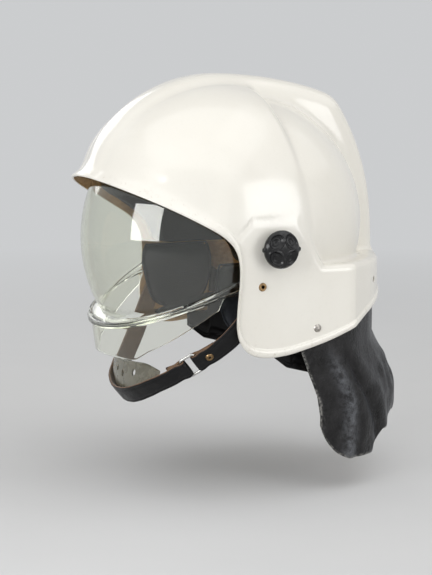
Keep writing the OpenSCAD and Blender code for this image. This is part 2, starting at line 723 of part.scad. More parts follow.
chin_rows = [[[75, -86.5, -118.8], [0.3, -0.63, 0.72]], [[66, -94, -124.6], [0.27, -0.66, 0.7]],
    [[50, -101.2, -132.6], [0.18, -0.67, 0.72]], [[30, -105.4, -139.4], [0.08, -0.65, 0.75]],
    [[8, -105, -142.6], [0.02, -0.64, 0.77]], [[-17.4, -100.1, -143], [-0.06, -0.64, 0.77]],
    [[-44.5, -90.8, -138.6], [-0.15, -0.6, 0.78]], [[-63.5, -79.7, -132.5], [-0.25, -0.55, 0.79]]];
right_rows = [[[-80, -66, -121.5], [-0.3, -0.5, 0.8]], [[-93, -52.5, -107], [-0.28, -0.55, 0.78]],
    [[-102.5, -40.5, -91], [-0.15, -0.62, 0.76]], [[-strap_mid_x + 3, -30, -74], [-0.05, -0.75, 0.65]],
    [[-strap_mid_x + 0.5, -21.5, -58], [0, -0.87, 0.5]], [[-strap_mid_x, -16.5, -46], [0, -0.95, 0.3]],
    [[-strap_mid_x, strap_rivet_y, strap_rivet_z], [0, -0.98, 0.17]],
    [[-strap_mid_x, -11.8, -22], [0, -0.99, 0.1]]];

// Main strap from the buckle's front bar round the chin to the right rivet, with its free end inside
module front_strap() {
    bar = buckle_l / 2;
    tail = [[at_buckle(bar + 15, -layer - 2.2), buckle_up], [at_buckle(bar + 6, -layer - 0.2), buckle_up]];
    wrap = bar_wrap(bar, -1);
    color("black") difference() {
        strap_solid(concat(tail, [for (i = [len(wrap) - 1:-1:0]) wrap[i]],
            [[at_buckle(bar + 6, layer), buckle_up]], strap_curve(concat(chin_rows, right_rows), 3)),
            strap_w, strap_t);
        across(strap_rivet_y, strap_rivet_z, strap_shank_d);
    }
}

// Carries its children to a place along the buckle's line: x up across it, y along it, z out of it
module on_buckle(a) {
    at = at_buckle(a, 0);
    multmatrix([[buckle_up[0], buckle_along[0], buckle_out[0], at[0]],
        [buckle_up[1], buckle_along[1], buckle_out[1], at[1]],
        [buckle_up[2], buckle_along[2], buckle_out[2], at[2]], [0, 0, 0, 1]]) children();
}

// Bent wire frame between the two straps
module buckle_frame() {
    long = strap_w / 2 + buckle_gap + buckle_wire / 2;
    short = buckle_l / 2;
    color("silver") on_buckle(0) for (k = [-1, 1]) {
        translate([0, k * short, 0]) rotate([0, 90, 0])
            cylinder(d = buckle_wire, h = 2 * long, center = true, $fn = small_fn);
        translate([k * long, 0, 0]) rotate([90, 0, 0])
            cylinder(d = buckle_wire, h = 2 * short, center = true, $fn = small_fn);
        for (j = [-1, 1]) translate([j * long, k * short, 0]) sphere(d = buckle_wire, $fn = small_fn);
    }
}

// Hollow rivet through both layers of the folded strap
module loop_rivet() {
    face = layer + strap_t / 2;
    color("goldenrod") on_buckle(-buckle_l / 2 - fold_l * 0.52) difference() {
        union() {
            translate([0, 0, face])
                cylinder(d1 = loop_rivet_d, d2 = loop_rivet_d - 1.6, h = 1.1, $fn = small_fn);
            cylinder(d = loop_rivet_d / 2, h = 2 * face + 0.2, center = true, $fn = small_fn);
            translate([0, 0, -face - 1]) cylinder(d = loop_rivet_d - 0.6, h = 1, $fn = small_fn);
        }
        cylinder(d = loop_rivet_d / 2 - 1.4, h = 20, center = true, $fn = small_fn);
    }
}

cup_rim = [[67.5, -92, -113.4], [49, -97.8, -109], [29, -102.3, -110], [8, -103.6, -111.2],
    [-17, -101, -110.8], [-42, -93, -110.5], [-58, -84, -114]];

// Moulded chin cup, its foot against the inside of the strap
module chin_cup() {
    rows = strap_curve([for (i = [1:7]) chin_rows[i]], 3);
    rim = curve(cup_rim, 3);
    n = len(rows) - 1;
    mid = [6, -62, -118];
    function inward(i) = let (a = rows[min(i + 1, n)][0] - rows[max(i - 1, 0)][0])
        unit(cross(a, rows[i][1]));
    function section(i) = let (foot = rows[i][0] + inward(i) * (strap_t / 2 + 0.5), w = rows[i][1],
        low = foot - w * 6, high = foot + w * 1.5, top = rim[i],
        belly = (high + top) / 2 + unit(top - mid) * 2)
        curve([low, high, belly, top], 2);
    outer = [for (i = [0:n]) section(i)];
    inner = [for (i = [0:n]) [for (p = outer[i]) p + unit(mid - p) * cup_t]];
    color("ivory") sheet_solid(inner, outer);
}

shell();
impact_liner();
crown_pad();
sweatband();
nape_band();
cheek_pad_left();
cheek_pad_right();
pivot_bush_left();
pivot_bush_right();
strap_rivets();
strap_washers();
curtain_rivets();
curtain_washers();
neck_curtain();
visor();
knob_left();
knob_right();
spring_washers();
knob_screws();
side_strap();
front_strap();
buckle_frame();
loop_rivet();
chin_cup();
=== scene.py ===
import math

import bmesh
import bpy
import numpy as np
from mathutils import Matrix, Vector


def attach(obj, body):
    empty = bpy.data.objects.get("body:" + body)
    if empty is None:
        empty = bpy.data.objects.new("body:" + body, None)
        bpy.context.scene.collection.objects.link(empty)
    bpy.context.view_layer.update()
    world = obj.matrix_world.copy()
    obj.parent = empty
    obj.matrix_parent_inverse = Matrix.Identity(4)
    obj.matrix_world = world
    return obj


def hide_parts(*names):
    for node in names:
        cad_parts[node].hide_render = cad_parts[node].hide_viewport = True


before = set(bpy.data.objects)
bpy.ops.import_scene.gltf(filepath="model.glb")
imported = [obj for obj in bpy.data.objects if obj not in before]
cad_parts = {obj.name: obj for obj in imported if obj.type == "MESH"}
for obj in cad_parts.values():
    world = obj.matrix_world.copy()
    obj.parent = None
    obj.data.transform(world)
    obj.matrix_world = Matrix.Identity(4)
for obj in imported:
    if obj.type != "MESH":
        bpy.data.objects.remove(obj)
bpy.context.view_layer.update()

# Camera: beside the helmet's left cheek and a little above it. It stands well back with a long lens, so that
# the near and far sides of the shell come out nearly the same size.
aim = Vector((0, -0.0048, -0.0498))
turn, lift = math.radians(65), math.radians(8)
camera_distance, picture_height = 1.7, math.radians(18.3)
backward = Vector((math.sin(turn) * math.cos(lift), -math.cos(turn) * math.cos(lift), math.sin(lift)))
camera = bpy.data.objects.new("camera", bpy.data.cameras.new("camera"))
bpy.context.scene.collection.objects.link(camera)
camera.location = aim + backward * camera_distance
camera.rotation_euler = (-backward).to_track_quat("-Z", "Y").to_euler()
camera.data.sensor_width = 36
camera.data.lens = camera.data.sensor_width / 2 / math.tan(picture_height / 2)
camera.data.clip_end = 60
bpy.context.scene.camera = camera
bpy.context.scene.view_settings.view_transform = "Standard"


# Studio floor: a wide pale sheet a little below the neck curtain. Away from the helmet it fades into the
# pale backdrop, which has the same grey.
def add(tree, kind, *feeds, **settings):
    node = tree.nodes.new("ShaderNode" + kind)
    for key, value in settings.items():
        setattr(node, key, value)
    for socket, value in feeds:
        if isinstance(value, bpy.types.NodeSocket):
            tree.links.new(value, node.inputs[socket])
        else:
            node.inputs[socket].default_value = value
    return node


backdrop_grey = (0.6, 0.61, 0.62, 1)
floor_z = -0.232
floor_mesh = bpy.data.meshes.new("floor")
form = bmesh.new()
bmesh.ops.create_circle(form, cap_ends=True, segments=96, radius=14)
bmesh.ops.translate(form, verts=form.verts, vec=(0, 0, floor_z))
form.to_mesh(floor_mesh)
form.free()
floor = bpy.data.objects.new("floor", floor_mesh)
bpy.context.scene.collection.objects.link(floor)
floor_paint = bpy.data.materials.new("floor_paint")
floor_paint.use_nodes = True
tree = floor_paint.node_tree
matt = tree.nodes["Principled BSDF"]
matt.inputs["Roughness"].default_value = 0.9
matt.inputs["Specular IOR Level"].default_value = 0.1
place = add(tree, "TexCoord").outputs["Object"]
cloud = add(tree, "TexNoise", ("Vector", place), ("Scale", 6.0), ("Detail", 3.0))
tint = add(tree, "ValToRGB", ("Fac", cloud.outputs["Fac"]))
tint.color_ramp.elements[0].color = (0.62, 0.625, 0.63, 1)
tint.color_ramp.elements[1].color = (0.66, 0.665, 0.67, 1)
tree.links.new(tint.outputs["Color"], matt.inputs["Base Color"])
away = add(tree, "VectorMath", (0, place), operation="LENGTH")
fade = add(tree, "MapRange", ("Value", away.outputs["Value"]), ("From Min", 0.5), ("From Max", 1.9))
glow = add(tree, "Emission", ("Color", backdrop_grey))
both_floors = add(tree, "MixShader", ("Fac", fade.outputs["Result"]), (1, matt.outputs["BSDF"]),
                  (2, glow.outputs["Emission"]))
tree.links.new(both_floors.outputs["Shader"], tree.nodes["Material Output"].inputs["Surface"])
floor_mesh.materials.append(floor_paint)

# Soft studio light: the even grey of the room, softboxes in front, overhead, behind and beside the rear
# corner, and a weak one on the far side.
room = bpy.data.worlds.new("room")
bpy.context.scene.world = room
room.use_nodes = True
tree = room.node_tree
even = tree.nodes["Background"]
even.inputs["Color"].default_value = (1, 0.985, 0.96, 1)
even.inputs["Strength"].default_value = 0.35
seen = add(tree, "Background", ("Color", backdrop_grey), ("Strength", 1.0))
ray = add(tree, "LightPath")
direct = add(tree, "Math", (0, ray.outputs["Is Camera Ray"]), (1, ray.outputs["Is Transmission Ray"]),
             operation="MAXIMUM")
shown = add(tree, "Math", (0, direct.outputs["Value"]), (1, ray.outputs["Is Glossy Ray"]),
            operation="MAXIMUM")
mixed = add(tree, "MixShader", ("Fac", shown.outputs["Value"]), (1, even.outputs["Background"]),
            (2, seen.outputs["Background"]))
tree.links.new(mixed.outputs["Shader"], tree.nodes["World Output"].inputs["Surface"])
for name, side, height, distance, wide, high, power in (
        ("front_softbox", 21, 12, 2.0, 1.15, 0.85, 20), ("top_softbox", 62, 68, 2.0, 3.2, 2.8, 24),
        ("side_softbox", 119, 12, 2.0, 0.95, 0.85, 10), ("rear_softbox", 150, 50, 2.4, 2.6, 2.2, 11),
        ("far_softbox", -80, 25, 2.4, 1.2, 1.2, 8)):
    lamp = bpy.data.objects.new(name, bpy.data.lights.new(name, "AREA"))
    lamp.data.shape = "RECTANGLE"
    lamp.data.size, lamp.data.size_y, lamp.data.energy = wide, high, power
    a, e = math.radians(side), math.radians(height)
    towards = Vector((math.sin(a) * math.cos(e), -math.cos(a) * math.cos(e), math.sin(e)))
    lamp.location = aim + towards * distance
    lamp.rotation_euler = towards.to_track_quat("Z", "Y").to_euler()
    bpy.context.scene.collection.objects.link(lamp)


# Shell: glass-fibre laminate, laid up by hand in a mould, white gel coat outside and raw tan resin inside.
# Front dome, lower rear body and broad crest run into each other; the cheeks and the rear band are flat.
# A brow lip and a rolled rim are moulded on along the lower edge.
def curve(points, m):
    """Smooth curve through a row of points, m steps to each gap."""
    p = np.asarray(points, float)
    n = len(p) - 1
    out = []
    for i in range(n):
        a, b, c, d = p[max(i - 1, 0)], p[i], p[i + 1], p[min(i + 2, n)]
        for j in range(m):
            t = j / m
            out.append((2 * b + (c - a) * t + (2 * a - 5 * b + 4 * c - d) * t * t
                        + (3 * b - a - 3 * c + d) * t ** 3) / 2)
    return np.array(out + [p[n]])


def skin(name, rings, around=False, caps=(None, None), slots=None):
    """Mesh over rings of points, in millimetres. caps closes the first and last ring: fan or face."""
    rings = np.asarray(rings, float)
    m, n = rings.shape[:2]
    points = [tuple(p) for p in (rings.reshape(-1, 3) * 0.001)]
    faces, marks = [], []
    for i in range(m - 1):
        for j in range(n if around else n - 1):
            k = (j + 1) % n
            faces.append((i * n + j, i * n + k, (i + 1) * n + k, (i + 1) * n + j))
            marks.append(slots(i, j) if slots else 0)
    for cap, first in zip(caps, (0, (m - 1) * n)):
        ring = list(range(first, first + n))
        if cap == "fan":
            points.append(tuple(rings.reshape(-1, 3)[ring].mean(0) * 0.001))
            for j in range(n):
                pair = (ring[j], ring[(j + 1) % n])
                faces.append((len(points) - 1, *(pair if first else pair[::-1])))
                marks.append(slots(0 if not first else m - 2, j) if slots else 0)
        elif cap == "face":
            faces.append(tuple(ring if first else ring[::-1]))
            marks.append(slots(0 if not first else m - 2, 0) if slots else 0)
    mesh = bpy.data.meshes.new(name)
    mesh.from_pydata(points, [], faces)
    mesh.polygons.foreach_set("material_index", marks)
    mesh.shade_smooth()
    form = bmesh.new()
    form.from_mesh(mesh)
    bmesh.ops.remove_doubles(form, verts=form.verts, dist=1e-6)
    bmesh.ops.recalc_face_normals(form, faces=form.faces)
    form.to_mesh(mesh)
    form.free()
    piece = bpy.data.objects.new(name, mesh)
    bpy.context.scene.collection.objects.link(piece)
    return piece


def unit(v):
    v = np.asarray(v, float)
    return v / np.linalg.norm(v, axis=-1, keepdims=True)


def smooth_step(value, low, high):
    t = np.clip((value - low) / (high - low), 0, 1)
    return t * t * (3 - 2 * t)


def oval_gap(r, x, radius, half, n):
    """Distance outside a rounded body turned about the helmet's cross axis."""
    a, b = r / radius, np.abs(x) / half
    f = a ** n + b ** n + 1e-12
    slope = f ** (1 / n - 1) * np.hypot(a ** (n - 1) / radius, b ** (n - 1) / half)
    return (f ** (1 / n) - 1) / np.maximum(slope, 1e-5)


def join(a, b, k):
    """Union of two bodies with a fillet."""
    h = np.maximum(k - np.abs(a - b), 0) / k
    return np.minimum(a, b) - h * h * k / 4


def line_gap_map(line, low, high):
    """Table, one entry per millimetre, of how far a place is to the left of a line."""
    line = np.asarray(line, float)
    grid = np.stack(np.meshgrid(np.arange(low[0], high[0] + 1), np.arange(low[1], high[1] + 1),
                                indexing="ij"), -1)
    along = unit(np.gradient(line, axis=0))
    gaps = np.empty(grid.shape[:2])
    for i, row in enumerate(grid):
        away = row[:, None] - line[None]
        near = (away ** 2).sum(-1).argmin(1)
        v, t = away[np.arange(len(row)), near], along[near]
        left = v[:, 1] * t[:, 0] - v[:, 0] * t[:, 1]
        far = np.linalg.norm(v, axis=1)
        straight_on = (near == 0) | (near == len(line) - 1) | (far < 8)
        gaps[i] = np.where(straight_on, left, np.sign(left) * far)
    return gaps, low


def look_up(table, a, b):
    gaps, low = table
    i = np.clip(a - low[0], 0, gaps.shape[0] - 1.001)
    j = np.clip(b - low[1], 0, gaps.shape[1] - 1.001)
    i0, j0 = i.astype(int), j.astype(int)
    u, v = i - i0, j - j0
    return ((1 - u) * (1 - v) * gaps[i0, j0] + u * (1 - v) * gaps[i0 + 1, j0]
            + (1 - u) * v * gaps[i0, j0 + 1] + u * v * gaps[i0 + 1, j0 + 1])


crest_hw, crest_depth, crest_n, brow_slope = 25.5, 26, 2.7, 68.0
crest_line, at, slope = [], np.array([-137.0, 66.0]), brow_slope
for radius, swing in ((139.3, 69), (400, 13.4), (150, 8), (30, 34), (215, 28), (420, 6)):
    a = math.radians(slope)
    centre = at + radius * np.array([math.sin(a), -math.cos(a)])
    for k in range(int(radius * math.radians(swing)) + 2):
        b = a - math.radians(swing) * k / (int(radius * math.radians(swing)) + 1)
        crest_line.append(centre + radius * np.array([-math.sin(b), math.cos(b)]))
    at, slope = crest_line.pop(), slope - swing
crest_line = np.array(crest_line + [at])
crest_map = line_gap_map(crest_line, (-200, -150), (200, 170))
crest_start = crest_line[0]
crest_way = np.array([math.cos(math.radians(brow_slope)), math.sin(math.radians(brow_slope))])

cheek_hw, panel_top_z, ledge_z, wall = 116.6, 26.5, -18, 3
dome_r, dome_hw, dome_n = 139.5, 118, 2.3
rear_y, rear_z, rear_r, rear_hw, rear_n = 13, 14.5, 120, 113.5, 2.15
step_ball_y, step_ball_r = 202.5, 262.5
band_half = np.vstack([[[cheek_hw, -170], [cheek_hw, 40], [cheek_hw, 76], [cheek_hw - 0.8, 82]],
                       curve([[92, 111], [78, 124.5], [58, 138], [38, 147.5], [18, 156.5], [0, 158]], 4),
                       [[-18, 156.5]]])
steps = np.linalg.norm(np.diff(band_half, axis=0), axis=1)
spots = np.arange(0, steps.sum(), 0.5)
reach = np.concatenate([[0], np.cumsum(steps)])
band_half = np.stack([np.interp(spots, reach, band_half[:, k]) for k in (0, 1)], -1)
band_map = line_gap_map(band_half, (0, -180), (150, 190))


def rear_gap(x, y, z, radius, half):
    """Distance outside the rear body, which the liner repeats a little smaller."""
    return oval_gap(np.hypot(y - rear_y, z - rear_z), x, radius, half, rear_n)


def shell_gap(p):
    """Distance outside the shell's white surface."""
    x, y, z = np.abs(p[..., 0]), p[..., 1], p[..., 2]
    dome = oval_gap(np.hypot(y + 11, z - 6), x, dome_r, dome_hw, dome_n)
    ball = np.sqrt(x * x + (y + step_ball_y) ** 2 + z * z) - step_ball_r
    front = -join(-dome, -ball, 4)
    rear = rear_gap(x, y, z, rear_r, rear_hw)
    above = np.maximum(look_up(crest_map, y, z) + crest_depth, 0)
    crest = oval_gap(above, x, crest_depth, crest_hw, crest_n)
    crest = np.maximum(crest, (crest_start[0] - y) * crest_way[0] + (crest_start[1] - z) * crest_way[1])
    plan = -look_up(band_map, x, y)
    band = -join(-plan, -(z - ledge_z), 6)
    up = z - panel_top_z
    panel = np.maximum.reduce([up, (up - y - 24) * 0.707, ((y - 22) * 39.5 + up * 26) / 47.3])
    plate = np.maximum.reduce([-join(cheek_hw - x, -panel, 9), -(y + 60), -(z + 22)])
    body = join(join(front, rear, 5), crest, 7)
    body = -join(-body, np.maximum(panel, cheek_hw - x), 3)
    return join(body, np.minimum(band, plate), 5)


def outward(gap, p):
    e = 0.4
    g = np.stack([gap(p + e * u) - gap(p - e * u) for u in np.eye(3)], -1)
    return g / np.maximum(np.linalg.norm(g, axis=-1), 1e-9)[..., None]


def cast(gap, start, way, near=20.0, far=230.0):
    """Where rays from inside a body leave it."""
    lo, hi = np.full(way.shape[:-1], near), np.full(way.shape[:-1], far)
    for _ in range(34):
        mid = (lo + hi) / 2
        out = gap(start + way * mid[..., None]) > 0
        hi, lo = np.where(out, mid, hi), np.where(out, lo, mid)
    return start + way * lo[..., None]


def edge_loop(gap, outline, spacing):
    """Half of a bowl's lower edge, from the middle in front round the left side to the back."""
    line = curve(outline, 60)
    inside = gap(np.column_stack([np.zeros(len(line)), line])) < 0
    line = line[np.argmax(inside):len(line) - np.argmax(inside[::-1])]
    start = np.column_stack([np.zeros(len(line)), line])
    loop = cast(gap, start, np.tile([1.0, 0, 0], (len(line), 1)), 0, 150)
    loop[0, 0] = loop[-1, 0] = 0
    run = np.concatenate([[0], np.cumsum(np.linalg.norm(np.diff(loop, axis=0), axis=1))])
    count = int(run[-1] / spacing)
    return np.stack([np.interp(np.linspace(0, run[-1], count + 1), run, loop[:, k]) for k in range(3)], -1)


def bowl_rings(gap, loop, centre, crown, edge_steps, pitch):
    """Rings of points from a bowl's lower edge to its crown, with each ring's distance from the edge."""
    centre = np.array(centre, float)
    to_edge = loop - centre
    size = np.linalg.norm(to_edge, axis=1)
    to_edge /= size[:, None]
    top = unit(np.array(crown, float) - centre)
    sweep = np.arccos(np.clip(to_edge @ top, -1, 1))
    length = sweep * size * 0.97
    rows = int(length.max() / pitch)
    share = np.linspace(0, 1, rows + 1)[:, None] * np.ones(len(loop))
    first = np.array(edge_steps)[:, None] / length
    k = len(edge_steps)
    rest = first[-1] + (1 - first[-1]) * (np.arange(1, rows - k + 1) / (rows - k + 0.6))[:, None]
    share = np.vstack([first, rest])
    angle = share * sweep
    s = np.sin(sweep)
    way = (np.sin(sweep - angle) / s)[..., None] * to_edge + (np.sin(angle) / s)[..., None] * top
    points = cast(gap, centre, way)
    return points, share * length


def both_halves(rings):
    """Half rings made whole by mirroring them."""
    return np.concatenate([rings, rings[:, -2:0:-1] * np.array([-1, 1, 1])], axis=1)


def mark_points(piece, mark, rings, values, digits=5, missing=0.0):
    """Writes a value on each point of a piece's mesh, from the rings that it was made of."""
    places = np.round(rings.reshape(-1, 3) * 0.001, digits)
    known = {tuple(place): value for place, value in zip(places, values.ravel())}
    found = [float(known.get(tuple(np.round(v.co, digits)), missing)) for v in piece.data.vertices]
    piece.data.attributes.new(mark, "FLOAT", "POINT").data.foreach_set("value", found)


edge_line = [[-162, 73.6], [-144, 64], [-126, 54], [-95, 38.2], [-66, 22.5], [-50, 12.4], [-40, 1.6],
             [-35.2, -12], [-34.8, -32], [-36.8, -56], [-37, -72], [-33.2, -84.5], [-24, -94], [-11, -97.8],
             [6, -97.8], [25, -94.6], [54, -87], [79.5, -77.6], [104, -67.5], [130, -58.5], [158, -50]]
shell_loop = edge_loop(shell_gap, edge_line, 1.9)
outer, from_edge = bowl_rings(shell_gap, shell_loop, (0, 8, -62), (0, 30, 140),
                              (0, 0.5, 1.1, 1.9, 2.9, 4, 5, 5.8, 6.5, 7.3, 8.4, 10, 12, 14.2), 1.9)
normal = outward(shell_gap, outer)
brow = smooth_step(-shell_loop[:, 1], 46, 68)
rim = 1.5 * np.sqrt(np.clip(1 - ((from_edge - 2.9) / 3.3) ** 2, 0, 1)) * (1 - brow)
dip = from_edge / 13 * np.exp(1 - from_edge / 13)
waist = -4.6 * brow * np.clip(dip, 0, 1) ** 1.6
white = outer + normal * (rim + waist)[..., None]
raw = outer + normal * (waist - wall)[..., None]
white[..., 0], raw[..., 0] = np.maximum(white[..., 0], 0), np.maximum(raw[..., 0], 0)
white[:, [0, -1], 0] = raw[:, [0, -1], 0] = 0
lip = [white[0] + (raw[0] - white[0]) * (1 - math.cos(a)) / 2 + unit(white[0] - white[1]) * 1.1 * math.sin(a)
       for a in np.linspace(0, math.pi, 6)[1:-1]]
rings = both_halves(np.concatenate([white[::-1], lip, raw]))
white_rows = len(white) + 3
shell = skin("shell_laminate", rings, around=True, caps=("fan", "fan"),
             slots=lambda i, j: 0 if i < white_rows else 1)
rows_mm = np.concatenate([from_edge[::-1], np.zeros((len(lip), from_edge.shape[1])), from_edge])
rows_mm = np.concatenate([rows_mm, rows_mm[:, -2:0:-1]], axis=1)
mark_points(shell, "from_edge", rings, rows_mm, digits=6, missing=60.0)


def drill(piece, holes):
    """Bores through a piece: each hole is (place, direction, diameter, length) in millimetres."""
    form = bmesh.new()
    for spot, way, wide, long in holes:
        turned = Vector(way).to_track_quat("Z", "Y").to_matrix().to_4x4()
        turned.translation = Vector(spot) * 0.001
        r = wide * 0.0005
        bmesh.ops.create_cone(form, cap_ends=True, segments=32, radius1=r, radius2=r, depth=long * 0.001,
                              matrix=turned)
    mesh = bpy.data.meshes.new("drill_bits")
    form.to_mesh(mesh)
    form.free()
    bits = bpy.data.objects.new("drill_bits", mesh)
    bpy.context.scene.collection.objects.link(bits)
    bore = piece.modifiers.new("bore", "BOOLEAN")
    bore.object, bore.operation, bore.solver = bits, "DIFFERENCE", "EXACT"
    settle(piece)
    bpy.data.objects.remove(bits)


def settle(piece):
    """Turns what a piece's modifiers make into its own mesh."""
    seen_by = bpy.context.evaluated_depsgraph_get()
    mesh = bpy.data.meshes.new_from_object(piece.evaluated_get(seen_by))
    piece.modifiers.clear()
    piece.data = mesh


def coat(name, **sockets):
    """New finish with its shader's sockets set."""
    made = bpy.data.materials.new(name)
    made.use_nodes = True
    shader = made.node_tree.nodes["Principled BSDF"]
    for key, value in sockets.items():
        shader.inputs[key.replace("_", " ")].default_value = value
    return made, made.node_tree, shader


def ramp(tree, value, *stops):
    """Colours that follow a value."""
    node = add(tree, "ValToRGB", ("Fac", value))
    while len(node.color_ramp.elements) < len(stops):
        node.color_ramp.elements.new(0.5)
    for element, (spot, colour) in zip(node.color_ramp.elements, stops):
        element.position = spot
        element.color = (*colour, 1) if isinstance(colour, tuple) else (colour, colour, colour, 1)
    return node.outputs["Color"]


def speckle(tree, scale, detail=3.0, rough=0.5, kind="TexNoise", stretch=None):
    """Noise that sticks to the piece, at so many features to the metre."""
    place = add(tree, "TexCoord").outputs["Object"]
    if stretch:
        place = add(tree, "Mapping", ("Vector", place), ("Scale", stretch)).outputs["Vector"]
    if kind == "TexVoronoi":
        return add(tree, kind, ("Vector", place), ("Scale", scale)).outputs["Distance"]
    return add(tree, kind, ("Vector", place), ("Scale", scale), ("Detail", detail),
               ("Roughness", rough)).outputs["Fac"]


def vary(shader, socket, value, *stops):
    """Lets one of a finish's sockets follow a value, through colour stops if there are any."""
    tree = shader.id_data
    tree.links.new(ramp(tree, value, *stops) if stops else value, shader.inputs[socket])


def relief(tree, shader, *layers):
    """Bumps one over another: each layer is (height, strength, depth in millimetres)."""
    last = None
    for height, strength, depth in layers:
        bump = add(tree, "Bump", ("Height", height), ("Strength", strength), ("Distance", depth * 0.001))
        if last:
            tree.links.new(last, bump.inputs["Normal"])
        last = bump.outputs["Normal"]
    vary(shader, "Normal", last)


def blend_colours(tree, share, a, b):
    node = add(tree, "Mix", data_type="RGBA")
    for socket, value in ((0, share), (6, a), (7, b)):
        if isinstance(value, bpy.types.NodeSocket):
            tree.links.new(value, node.inputs[socket])
        else:
            node.inputs[socket].default_value = (*value, 1) if isinstance(value, tuple) else value
    return node.outputs[2]


def times(tree, a, b):
    return add(tree, "Math", (0, a), (1, b), operation="MULTIPLY").outputs["Value"]


gel_coat, tree, shader = coat("white_gel_coat", Coat_Weight=0.35, Coat_Roughness=0.07, IOR=1.5)
aged = ramp(tree, speckle(tree, 14, 4), (0.3, (0.755, 0.73, 0.665)), (0.7, (0.79, 0.77, 0.71)))
fine_dirt = ramp(tree, speckle(tree, 260, 5, 0.65), (0.56, 0.0), (0.78, 1.0))
near = add(tree, "MapRange", ("Value", add(tree, "Attribute", attribute_name="from_edge").outputs["Fac"]),
           ("From Min", 0.0), ("From Max", 11.0), ("To Min", 0.75), ("To Max", 0.07)).outputs["Result"]
vary(shader, "Base Color", blend_colours(tree, times(tree, near, fine_dirt), aged, (0.46, 0.41, 0.33)))
vary(shader, "Roughness", speckle(tree, 60, 6, 0.7), (0.35, 0.16), (0.8, 0.27))
relief(tree, shader, (speckle(tree, 16, 1), 0.06, 1.5), (speckle(tree, 300, 2), 0.03, 0.2))

raw_laminate, tree, shader = coat("raw_laminate", Specular_IOR_Level=0.4)
strands = speckle(tree, 260, 4, 0.7, stretch=(1, 0.25, 1))
crossing = speckle(tree, 230, 4, 0.7, stretch=(0.3, 1, 0.6))
weave = blend_colours(tree, 0.5, strands, crossing)
vary(shader, "Base Color", weave, (0.3, (0.3, 0.165, 0.065)), (0.5, (0.5, 0.3, 0.135)),
     (0.72, (0.64, 0.43, 0.23)))
vary(shader, "Roughness", strands, (0.3, 0.45), (0.7, 0.75))
relief(tree, shader, (weave, 0.6, 0.5), (speckle(tree, 40, 2), 0.3, 1.5))
shell.data.materials.append(gel_coat)
shell.data.materials.append(raw_laminate)
corner = math.radians(40)
pivot_bore, strap_bore, curtain_bore, corner_bore = 18, 5.5, 3.6, 5.4
strap_rivet, side_rivet, rear_rivet = (0, -13.5, -34), (0, 42.5, -75), (0, 158, -40)
both_cheeks, one_wall = 300, 30
drill(shell, [((s * 82, 118.2, -38.5), (s * math.cos(corner), math.sin(corner), 0), corner_bore, one_wall)
              for s in (1, -1)]
      + [((0, 0, 0), (1, 0, 0), pivot_bore, both_cheeks), (strap_rivet, (1, 0, 0), strap_bore, both_cheeks),
         (side_rivet, (1, 0, 0), curtain_bore, both_cheeks),
         (rear_rivet, (0, 1, 0), curtain_bore, one_wall)])
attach(shell, "shell")
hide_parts("shell")


# Face shield: one clear moulding of polycarbonate, slightly yellowed, 2.8 mm thick. Below the sheet a
# bead stands proud, and under it a skirt leans back to the chin. A round hub at each end takes the knob.
visor_r, visor_hw, visor_n = 134, 107, 2.2
top_z, top_slope, bead_slope, bead_z, bead_h, hub_r, sheet_t = 14.33, 0.8372, 0.47, -16, 9, 23, 2.8
skirt_r, skirt_hw, skirt_lean = 124.5, 101, math.radians(7.5)
bead_proud, bead_round, front_of_axis = 8, 2.2, 6
skirt_foot = np.array([[-130, -105], [-112, -104], [-104, -95.5], [-92, -87], [-66, -69], [-47.5, -56],
                       [-42.5, -46], [-40, -44]])


def fan_angle(r, level, rise):
    """Where a circle about the axis meets a slanting line in front of it."""
    return math.atan(rise) + math.asin(min(1.0, level / (r * math.hypot(1, rise))))


def visor_column(r, x):
    """Points of the shield at one distance from its middle, from the upper edge to the skirt's foot."""
    def below(radius, down):
        """Angle of the place so far below the bead's upper edge, never behind the hubs' cut."""
        return -min(fan_angle(radius, -bead_z + down, bead_slope), math.acos(min(1, front_of_axis / r)))

    def turned(radius, a):
        return radius * np.array([-math.cos(a), math.sin(a)])

    foot = below(r, bead_h)
    proud = bead_proud * min(1, max(0, (r - 24) / 30))
    arc = [turned(r, a) for a in np.linspace(fan_angle(r, top_z, top_slope), below(r, 0), 60)]
    upper = turned(r + proud, below(r + proud, 0.8))
    lower = turned(r + proud, below(r + proud, bead_h - 0.8))
    plan = skirt_r * max(0, 1 - (abs(x) / skirt_hw) ** visor_n) ** (1 / visor_n)

    def skirt_y(z):
        down = (z + 66 + plan * math.sin(skirt_lean)) / math.cos(skirt_lean)
        return -plan * math.cos(skirt_lean) - down * math.sin(skirt_lean)

    upper[0] = min(upper[0], skirt_y(upper[1]) - 3.4)
    lower[0] = min(lower[0], skirt_y(lower[1]) - 3.4)
    level = r * math.sin(foot) - 0.4
    join_y = max(lower[0] + 3.4 * min(1, proud / 4), min(skirt_y(level), lower[0] + 9))
    step = np.array([join_y, level])
    bottom = min(level, np.interp(step[0], skirt_foot[:, 0], skirt_foot[:, 1]))
    corners = [arc[-1], upper, lower, step]
    way = []
    for i, p in enumerate(corners[1:3], 1):
        before, after = corners[i - 1] - p, corners[i + 1] - p
        cut = min(bead_round, 0.45 * np.linalg.norm(before), 0.45 * np.linalg.norm(after))
        a = p + before * cut / max(np.linalg.norm(before), 1e-6)
        b = p + after * cut / max(np.linalg.norm(after), 1e-6)
        way += [(1 - t) ** 2 * a + 2 * t * (1 - t) * p + t * t * b for t in (0, 0.25, 0.5, 0.75, 1)]
    drop = [np.array([skirt_y(z) if bottom < level - 0.3 else join_y, z])
            for z in np.linspace(level, bottom, 22)[1:]]
    if bottom < level - 0.3:
        shift = step[0] - skirt_y(level)
        drop = [p + np.array([shift * math.exp(-(level - p[1]) / 3), 0]) for p in drop]
    return np.array([[x, y, z] for y, z in [*arc, *way, step, *drop]])


